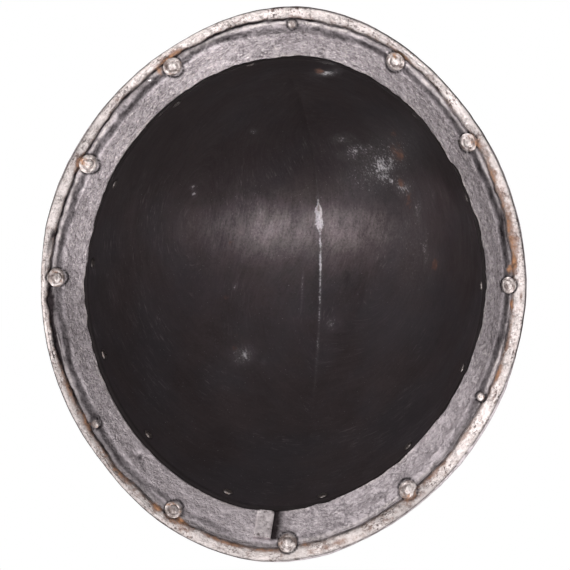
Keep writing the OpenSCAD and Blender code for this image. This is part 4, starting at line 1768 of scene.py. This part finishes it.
def fastening_tree(name: str, sizes: dict[str, float]) -> tuple[Shelf, dict[str, Wire],
                                                                dict[str, Wire]]:
    """Starts geometry nodes that set a fastening on points.

    Args:
        name: the tree's name.
        sizes: its number inputs with their first values, lengths in metres.

    Returns:
        The shelf to fill, the tree's inputs by name, and the X, Y and Z of a corner.
    """
    tree = bpy.data.node_groups.new(name, "GeometryNodeTree")
    tree.interface.new_socket("Geometry", in_out="INPUT", socket_type="NodeSocketGeometry")
    for key, value in {**sizes, "Seed": 1.0}.items():
        socket = tree.interface.new_socket(key, in_out="INPUT", socket_type="NodeSocketFloat")
        socket.default_value = value
    tree.interface.new_socket("Iron", in_out="INPUT", socket_type="NodeSocketMaterial")
    tree.interface.new_socket("Geometry", in_out="OUTPUT", socket_type="NodeSocketGeometry")
    shelf = Shelf(tree)
    start = shelf.wires(shelf.add("NodeGroupInput"))
    return shelf, start, shelf.split(shelf.take("GeometryNodeInputPosition", 0))


def set_out(shelf: Shelf, start: dict[str, Wire], pattern: Wire, grain: float) -> None:
    """Sets copies of a fastening on the points, each with dents of its own, and ends the tree.

    Args:
        shelf: the tree's shelf.
        start: its inputs by name.
        pattern: the fastening.
        grain: the scale of the dents.
    """
    turn, swell = (shelf.take("GeometryNodeInputNamedAttribute", 0, {"Name": name},
                              data_type="FLOAT_VECTOR") for name in ("turn", "swell"))
    copies = shelf.take("GeometryNodeInstanceOnPoints", 0, {
        "Points": start["Geometry"], "Instance": pattern, "Rotation": turn, "Scale": swell})
    real = shelf.take("GeometryNodeRealizeInstances", 0, {"Geometry": copies})
    dents = shelf.take("ShaderNodeTexNoise", "Fac", {
        "W": start["Seed"], "Scale": grain, "Detail": 2.0}, noise_dimensions="4D")
    offset = shelf.take("ShaderNodeVectorMath", 0, {
        0: shelf.take("GeometryNodeInputNormal", 0), "Scale": (dents - 0.5) * start["Dents"]},
        operation="SCALE")
    dented = shelf.take("GeometryNodeSetPosition", 0, {"Geometry": real, "Offset": offset})
    iron = shelf.take("GeometryNodeSetMaterial", 0, {
        "Geometry": dented, "Material": start["Iron"]})
    shelf.add("NodeGroupOutput", {0: iron})


def rivet_tree() -> bpy.types.NodeTree:
    """Geometry nodes that set a forged rivet on each point: head, rim, shank, hammered end.

    Returns:
        The tree.
    """
    shelf, start, place = fastening_tree("Forged rivets", {
        "Head radius": 0.004, "Head height": 0.002, "Rise": 0.003, "Shank radius": 0.002,
        "Under": 0.001, "End radius": 0.0025, "End height": 0.0013, "Dents": 0.0002})

    def dome(radius: Wire, height: Wire, lift: Wire, side: str) -> Wire:
        """Half a ball with a flat side, raised to its place.

        Args:
            radius: its radius.
            height: its height.
            lift: where its flat side lies.
            side: MAXIMUM for the upper half, MINIMUM for the lower.

        Returns:
            Its geometry.
        """
        ball = shelf.take("GeometryNodeMeshUVSphere", "Mesh", {
            "Segments": 28, "Rings": 18, "Radius": 1.0})
        flat = shelf.point(place["X"], place["Y"], shelf.math(side, place["Z"], 0.0))
        half = shelf.take("GeometryNodeSetPosition", 0, {"Geometry": ball, "Position": flat})
        return shelf.take("GeometryNodeTransform", 0, {
            "Geometry": half, "Scale": shelf.point(radius, radius, height),
            "Translation": shelf.point(0.0, 0.0, lift)})

    def drum(radius: Wire, low: Wire, high: Wire) -> Wire:
        """A plain cylinder between two heights.

        Args:
            radius: its radius.
            low: the lower height.
            high: the upper height.

        Returns:
            Its geometry.
        """
        body = shelf.take("GeometryNodeMeshCylinder", "Mesh", {
            "Vertices": 28, "Radius": radius, "Depth": high - low})
        return shelf.take("GeometryNodeTransform", 0, {
            "Geometry": body, "Translation": shelf.point(0.0, 0.0, (high + low) * 0.5)})

    rim, below = start["Rise"] + 0.0006, start["Under"] * -1.0
    join = shelf.add("GeometryNodeJoinGeometry")
    for part in (dome(start["Head radius"], start["Head height"], rim, "MAXIMUM"),
                 drum(start["Head radius"], start["Rise"], rim),
                 drum(start["Shank radius"], below, start["Rise"]),
                 dome(start["End radius"], start["End height"], below, "MINIMUM")):
        shelf.feed(join, {0: part})
    set_out(shelf, start, Wire(shelf, join.outputs[0]), 380.0)
    return shelf.tree


def rove_tree() -> bpy.types.NodeTree:
    """Geometry nodes that set a round plate with a hole on each point.

    Returns:
        The tree.
    """
    shelf, start, place = fastening_tree("Round plates", {
        "Radius": 0.00475, "Hole": 0.002, "Thickness": 0.001, "Dents": 0.0003})
    radius, hole, thickness = start["Radius"], start["Hole"], start["Thickness"]
    loop = shelf.take("GeometryNodeCurvePrimitiveCircle", "Curve", {
        "Resolution": 44, "Radius": (radius + hole) * 0.5})
    slab = shelf.take("GeometryNodeCurvePrimitiveQuadrilateral", "Curve", {
        "Width": radius - hole, "Height": thickness})
    slab = shelf.take("GeometryNodeResampleCurve", "Curve", {"Curve": slab, "Count": 56})
    ring = shelf.take("GeometryNodeCurveToMesh", "Mesh", {"Curve": loop, "Profile Curve": slab})
    x, y, z = place["X"], place["Y"], place["Z"]
    off = shelf.math("SQRT", x * x + y * y) / radius
    groove = 1.0 - shelf.math("ABSOLUTE", off - 0.58).ramp(0.0, 0.1)
    thin = 1.0 - off ** 5.0 * 0.68 - groove * 0.28
    worn = shelf.point(x, y, (z - thickness * 0.5) * thin)
    shaped = shelf.take("GeometryNodeSetPosition", 0, {"Geometry": ring, "Position": worn})
    set_out(shelf, start, shaped, 300.0)
    return shelf.tree


def grow(name: str, tree: bpy.types.NodeTree, places: list[Array], turns: list[Triple],
         swells: list[Triple], sizes: dict[str, object], slot: str,
         nodes: list[str]) -> bpy.types.Object:
    """Sets fastenings on points and turns them into a plain mesh.

    Args:
        name: the piece's name.
        tree: the geometry nodes.
        places: where each fastening's hole meets the plate, in millimetres.
        turns: the turn of each, as three angles in radians.
        swells: the scale of each along its own axes.
        sizes: the tree's inputs by name, lengths in millimetres.
        slot: the record's material slot; not used.
        nodes: the solids that the piece stands in for.

    Returns:
        The finished piece.
    """
    piece = mesh_piece(name, np.array(places, float).reshape(-1, 1, 3), [], [], marks={
        "turn": np.array(turns, float), "swell": np.array(swells, float)})
    modifier = piece.modifiers.new("Fastenings", "NODES")
    modifier.node_group = tree
    for item in tree.interface.items_tree:
        if item.item_type == "SOCKET" and item.in_out == "INPUT" and item.name in sizes:
            value = sizes[item.name]
            modifier[item.identifier] = value if item.name in ("Iron", "Seed") else value * MM
    bpy.context.view_layer.update()
    graph = bpy.context.evaluated_depsgraph_get()
    made = bpy.data.meshes.new_from_object(piece.evaluated_get(graph))
    piece.modifiers.clear()
    piece.data = made
    made.name = name
    made.polygons.foreach_set("use_smooth", [True] * len(made.polygons))
    made.set_sharp_from_angle(angle=math.radians(50.0))
    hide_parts(*nodes)
    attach(piece, "root")
    LOG.info("%s: %d faces on %d places", name, len(made.polygons), len(places))
    return piece


@dataclass
class BrimFastenings:
    """The rivets round the brim, with the round plates under their hammered ends."""

    finishes: Finishes
    rivet_r: float = 1.9
    head_r: float = 3.7
    rove_r: float = 4.75
    rove_t: float = 1.0
    rise: float = 3.3
    # Share of the plain round plate: towards the edge and along it
    PLATES = (
        (0.9, 1.0), (0.96, 1.0), (0.96, 1.0), (1.0, 1.0), (0.96, 1.0), (0.94, 0.97), (0.8, 0.85),
        (1.0, 1.0), (1.0, 1.0), (1.0, 1.0), (0.88, 0.92), (1.0, 1.0))

    @staticmethod
    def places() -> list[Array]:
        """The middle of each rivet's hole on the lower side of the brim.

        Returns:
            One point a rivet.
        """
        spots = []
        slope = math.tan(math.radians(RIVET_TILT))
        for bearing in BRIM_BEARINGS:
            t = FORM.angle_at(bearing, True)
            edge = FORM.oval(np.array([t]), 0.0, True)[0]
            x, y = edge - FORM.outward(t, True) * RIVET_INSET
            height = FORM.land_z - 0.2 + (RIVET_INSET - FORM.land_end) * slope
            spots.append(np.array([x, y, height]))
        return spots

    def turns(self) -> list[Triple]:
        """The turn of each rivet, leaning out over the edge.

        Returns:
            Three angles a rivet.
        """
        out = []
        for bearing in BRIM_BEARINGS:
            way = FORM.outward(FORM.angle_at(bearing, True), True)
            out.append((0.0, math.radians(RIVET_TILT), math.atan2(way[1], way[0])))
        return out

    def build(self) -> None:
        """Builds rivets with plates, bare rivets and plates."""
        places, turns, chance = self.places(), self.turns(), np.random.default_rng(7)
        count = len(BRIM_BEARINGS)
        uneven = [(1.0 + 0.06 * a, 1.0 + 0.06 * b, 1.0)
                  for a, b in chance.uniform(-1.0, 1.0, (count, 2))]
        bare = [i for i in range(count) if i + 1 in BARE_RIVETS]
        held = [i for i in range(count) if i not in bare]

        def set_on(name: str, tree: bpy.types.NodeTree, chosen: list[int], swells: list[Triple],
                   sizes: dict[str, object], slot: str, solid: str) -> None:
            """Sets one kind of fastening on the chosen places."""
            grow(name, tree, [places[i] for i in chosen], [turns[i] for i in chosen], swells,
                 sizes, slot, [f"{solid}_{i + 1:02d}" for i in chosen])

        rivets = rivet_tree()
        common = {"Head radius": self.head_r - 0.1, "Head height": 2.1, "Rise": self.rise,
                  "Shank radius": self.rivet_r, "Iron": self.finishes.rivet}
        set_on("brim_rivets", rivets, held, [uneven[i] for i in held],
               {**common, "Under": self.rove_t + 0.02, "End radius": 2.12, "End height": 0.75,
                "Dents": 0.8, "Seed": 2.0}, "brim_rivet_iron", "brim_rivet")
        set_on("bare_rivets", rivets, bare, [(1.0, 1.0, 1.0)] * len(bare),
               {**common, "Under": 0.05, "End radius": 2.05, "End height": 1.25,
                "Dents": 1.0, "Seed": 5.0}, "brim_rivet_iron", "brim_rivet")
        set_on("round_plates", rove_tree(), held, [(*self.PLATES[i], 1.0) for i in held],
               {"Radius": self.rove_r, "Hole": self.rivet_r + 0.12, "Thickness": self.rove_t,
                "Dents": 0.3, "Seed": 3.0, "Iron": self.finishes.rove}, "rove_iron", "rove")


@dataclass
class BaseFastenings:
    """The rivets that hold the collar to the skull."""

    finishes: Finishes
    shank_r: float = 1.5
    head_r: float = 4.0
    end_r: float = 2.6
    height: float = 8.0

    def build(self) -> None:
        """Builds all base rivets as one piece."""
        places, turns = [], []
        u = FORM.climb_of(self.height)
        for bearing in BASE_BEARINGS:
            t = FORM.angle_at(bearing, False)
            out = FORM.outward(t, False)
            steps = np.array([u - 1.0, u, u + 1.0])
            low, here, high = FORM.skin(np.array([t]), steps, 0.0)[:, 0]
            lean = math.atan2(float(np.dot((low - high)[:2], out)), float((high - low)[2]))
            places.append(here)
            turns.append((0.0, math.pi / 2 - lean, math.atan2(out[1], out[0])))
        count = len(places)
        grow("base_rivets", bpy.data.node_groups["Forged rivets"], places, turns,
             [(1.0, 1.0, 1.0)] * count,
             {"Head radius": self.head_r, "Head height": 2.2, "Shank radius": self.shank_r,
              "Rise": FORM.lap_gap + FORM.brim_plate + 0.2, "Under": FORM.skull_plate + 0.3,
              "End radius": self.end_r, "End height": 0.9, "Dents": 0.5, "Seed": 9.0,
              "Iron": self.finishes.base_rivet},
             "base_rivet_iron", [f"base_rivet_{i + 1:02d}" for i in range(count)])


@dataclass
class Strap:
    """The short iron strap inside the front of the brim."""

    finishes: Finishes
    bearing: float = 274.0
    width: float = 8.6
    thickness: float = 1.3
    gap: float = 0.3
    slope: float = 38.0

    def points(self) -> tuple[Array, int, int]:
        """The corners of the strap.

        Returns:
            First the corners against the brim, then the free ones; the rows of each side, and
            the corners of a row.
        """
        t = FORM.angle_at(self.bearing, True)
        edge = FORM.oval(np.array([t]), 0.0, True)[0]
        way = FORM.oval(np.array([t]), FORM.lap_gap)[0] - edge
        reach = float(np.hypot(*way))
        way = way / reach
        side = np.array([-way[1], way[0]])
        z, drop, end = FORM.land_z, FORM.brim_drop, FORM.land_end
        line = np.array([[end + 2.0, z + 2.15], [end + 2.9, z + 2.9], [reach - 4.6, drop - 3.5],
                         [reach - 0.5, drop - 0.5], [reach + 0.35, drop + 0.15]])
        slope = math.radians(self.slope)
        fall = np.array([math.sin(slope), -math.cos(slope)])
        along, across = resample(line, [4, 8, 10, 3]), np.linspace(-1.0, 1.0, 17)
        grain = Grain(61)
        tops, bottoms = [], []
        for i, point in enumerate(along):
            left = len(along) - 1 - i
            narrow = 1.0 - 0.3 * max(0.0, 1.0 - left / 4.0) ** 2
            for s in across:
                rim = max(abs(s), 1.0 - left / 1.5 if left < 1.5 else 0.0)
                round_off = 0.35 * max(0.0, rim - 0.84) / 0.16
                plan = edge + way * (point[0] + self.gap * fall[0])
                plan = plan + side * s * self.width / 2 * narrow
                top = np.array([plan[0], plan[1], point[1] + self.gap * fall[1]])
                deep = self.thickness - round_off + 0.12 * float(grain.at(top[None], 3.0)[0])
                tops.append(top)
                bottoms.append(top + np.array([*(way * fall[0]), fall[1]]) * deep)
        return np.array(tops + bottoms), len(along), len(across)

    def build(self) -> bpy.types.Object:
        """Builds the strap as a bevelled slab that follows the flare.

        Returns:
            The piece.
        """
        points, count, n = self.points()
        half = count * n
        faces = []
        for i in range(count - 1):
            for j in range(n - 1):
                a, b, c, d = i * n + j, i * n + j + 1, (i + 1) * n + j + 1, (i + 1) * n + j
                faces.append((a, d, c, b))
                faces.append((half + a, half + b, half + c, half + d))
        ring = list(range(n)) + [(i + 1) * n - 1 for i in range(1, count)]
        ring += [(count - 1) * n + j for j in range(n - 2, -1, -1)]
        ring += [i * n for i in range(count - 2, 0, -1)]
        for a, b in zip(ring, ring[1:] + ring[:1]):
            faces.append((a, b, half + b, half + a))
        piece = mesh_piece("brim_strap_iron", points.reshape(-1, 1, 3), faces,
                           [self.finishes.strap])
        piece.data.set_sharp_from_angle(angle=math.radians(55.0))
        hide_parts("brim_strap")
        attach(piece, "root")
        LOG.info("strap: %d faces", len(faces))
        return piece


# The studio


@dataclass(frozen=True)
class Softbox:
    """A soft square lamp that looks at a point of the helmet."""

    name: str
    place: Triple
    size: tuple[float, float]
    power: float
    target: Triple = (0.0, 0.0, 0.05)
    colour: Colour = (1.0, 0.985, 0.975)
    spread: float = 180.0

    def hang(self) -> None:
        """Hangs the lamp in the scene."""
        lamp = bpy.data.lights.new(self.name, "AREA")
        lamp.shape = "RECTANGLE"
        lamp.size, lamp.size_y = self.size
        lamp.energy = self.power
        lamp.color = self.colour
        lamp.spread = math.radians(self.spread)
        holder = bpy.data.objects.new(self.name, lamp)
        holder.matrix_world = aim(Vector(self.place), Vector(self.target),
                                  Vector((0.0, 1.0, 0.001)))
        bpy.context.scene.collection.objects.link(holder)


def aim(place: Vector, target: Vector, up: Vector) -> Matrix:
    """The matrix of a camera or lamp.

    Args:
        place: where it stands.
        target: what it looks at.
        up: the way that is up in its picture.

    Returns:
        The matrix in metres.
    """
    back = (place - target).normalized()
    right = up.cross(back).normalized()
    turn = Matrix((right, back.cross(right), back)).transposed().to_4x4()
    return Matrix.Translation(place) @ turn


@dataclass
class Studio:
    """A pale floor, soft lamps on both sides of it, and the camera under the open helmet."""

    place: Triple = (-0.1188, 0.0248, -1.0396)
    lens: float = 135.3
    shift_x: float = 0.0105
    floor_size: float = 3000.0
    floor_z: float = -0.3

    BOXES = (Softbox("under_left", (0.55, -0.15, -1.0), (0.5, 0.9), 5.0),
             Softbox("under_right", (-0.75, -0.1, -1.0), (0.5, 0.9), 5.0),
             Softbox("under_front", (0.0, -1.1, -0.7), (0.9, 0.5), 7.0),
             Softbox("low_rear_left", (0.9, 0.9, -0.35), (0.8, 0.8), 6.0),
             Softbox("low_front_right", (-0.9, -0.9, -0.35), (0.8, 0.8), 4.0),
             Softbox("crown", (-0.03, 0.12, -1.25), (0.12, 0.06), 0.03, (0.0, 0.035, 0.16),
                     spread=9.0),
             Softbox("above_key", (0.9, -1.1, 1.3), (1.0, 1.0), 26.0),
             Softbox("above_fill", (-1.3, -0.4, 0.9), (1.0, 1.2), 9.0),
             Softbox("above_back", (0.2, 1.4, 1.1), (1.2, 0.8), 12.0))

    def build(self) -> None:
        """Sets up floor, light and camera."""
        self.floor()
        self.sky()
        for box in self.BOXES:
            box.hang()
        lens = bpy.data.cameras.new("camera")
        lens.sensor_width = 36.0
        lens.lens = self.lens
        lens.shift_x = self.shift_x
        lens.clip_start = 0.01
        camera = bpy.data.objects.new("camera", lens)
        camera.matrix_world = aim(Vector(self.place), Vector((0.0, 0.0, 0.0)),
                                  Vector((0.0, 1.0, 0.0)))
        bpy.context.scene.collection.objects.link(camera)
        bpy.context.scene.camera = camera
        bpy.context.scene.view_settings.view_transform = "Standard"

    def floor(self) -> None:
        """A pale floor just under the brim, seen only from above."""
        material = bpy.data.materials.new("Pale floor")
        shelf = blank(material)
        solid = shelf.take("ShaderNodeBsdfPrincipled", 0, {
            "Base Color": (0.8, 0.79, 0.78, 1.0), "Roughness": 0.85})
        clear = shelf.take("ShaderNodeBsdfTransparent", 0)
        back = shelf.take("ShaderNodeNewGeometry", "Backfacing")
        mix = shelf.take("ShaderNodeMixShader", 0, {0: back, 1: solid, 2: clear})
        shelf.add("ShaderNodeOutputMaterial", {0: mix})
        signs = np.array([[-1.0, -1.0], [1.0, -1.0], [1.0, 1.0], [-1.0, 1.0]])
        corners = np.column_stack([signs * self.floor_size, np.full(4, self.floor_z)])
        floor = mesh_piece("floor", corners.reshape(-1, 1, 3), [(0, 1, 2, 3)], [material])
        floor.visible_diffuse = False
        floor.visible_glossy = False
        floor.visible_transmission = False
        floor.visible_shadow = False

    def sky(self) -> None:
        """White where the camera sees it; elsewhere softer light, brighter at front and rear."""
        world = bpy.data.worlds.new("studio")
        shelf = blank(world)
        way = shelf.split(shelf.take("ShaderNodeTexCoord", "Generated"))
        light = shelf.take("ShaderNodeBackground", 0, {
            "Color": (1.0, 0.985, 0.98, 1.0), "Strength": way["Y"] * way["Y"] * 0.35 + 0.5})
        white = shelf.take("ShaderNodeBackground", 0, {
            "Color": (1.0, 1.0, 1.0, 1.0), "Strength": 1.0})
        seen = shelf.take("ShaderNodeLightPath", "Is Camera Ray")
        mix = shelf.take("ShaderNodeMixShader", 0, {0: seen, 1: light, 2: white})
        shelf.add("ShaderNodeOutputWorld", {0: mix})
        bpy.context.scene.world = world


def main() -> None:
    """Builds the helmet piece by piece, then the studio."""
    logging.basicConfig(level=logging.INFO, format="%(name)s: %(message)s")
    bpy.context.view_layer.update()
    finishes = Finishes()
    Skull(finishes).build()
    Brim(finishes).build()
    BrimFastenings(finishes).build()
    BaseFastenings(finishes).build()
    Strap(finishes).build()
    Studio().build()


if __name__ == "__main__":
    main()
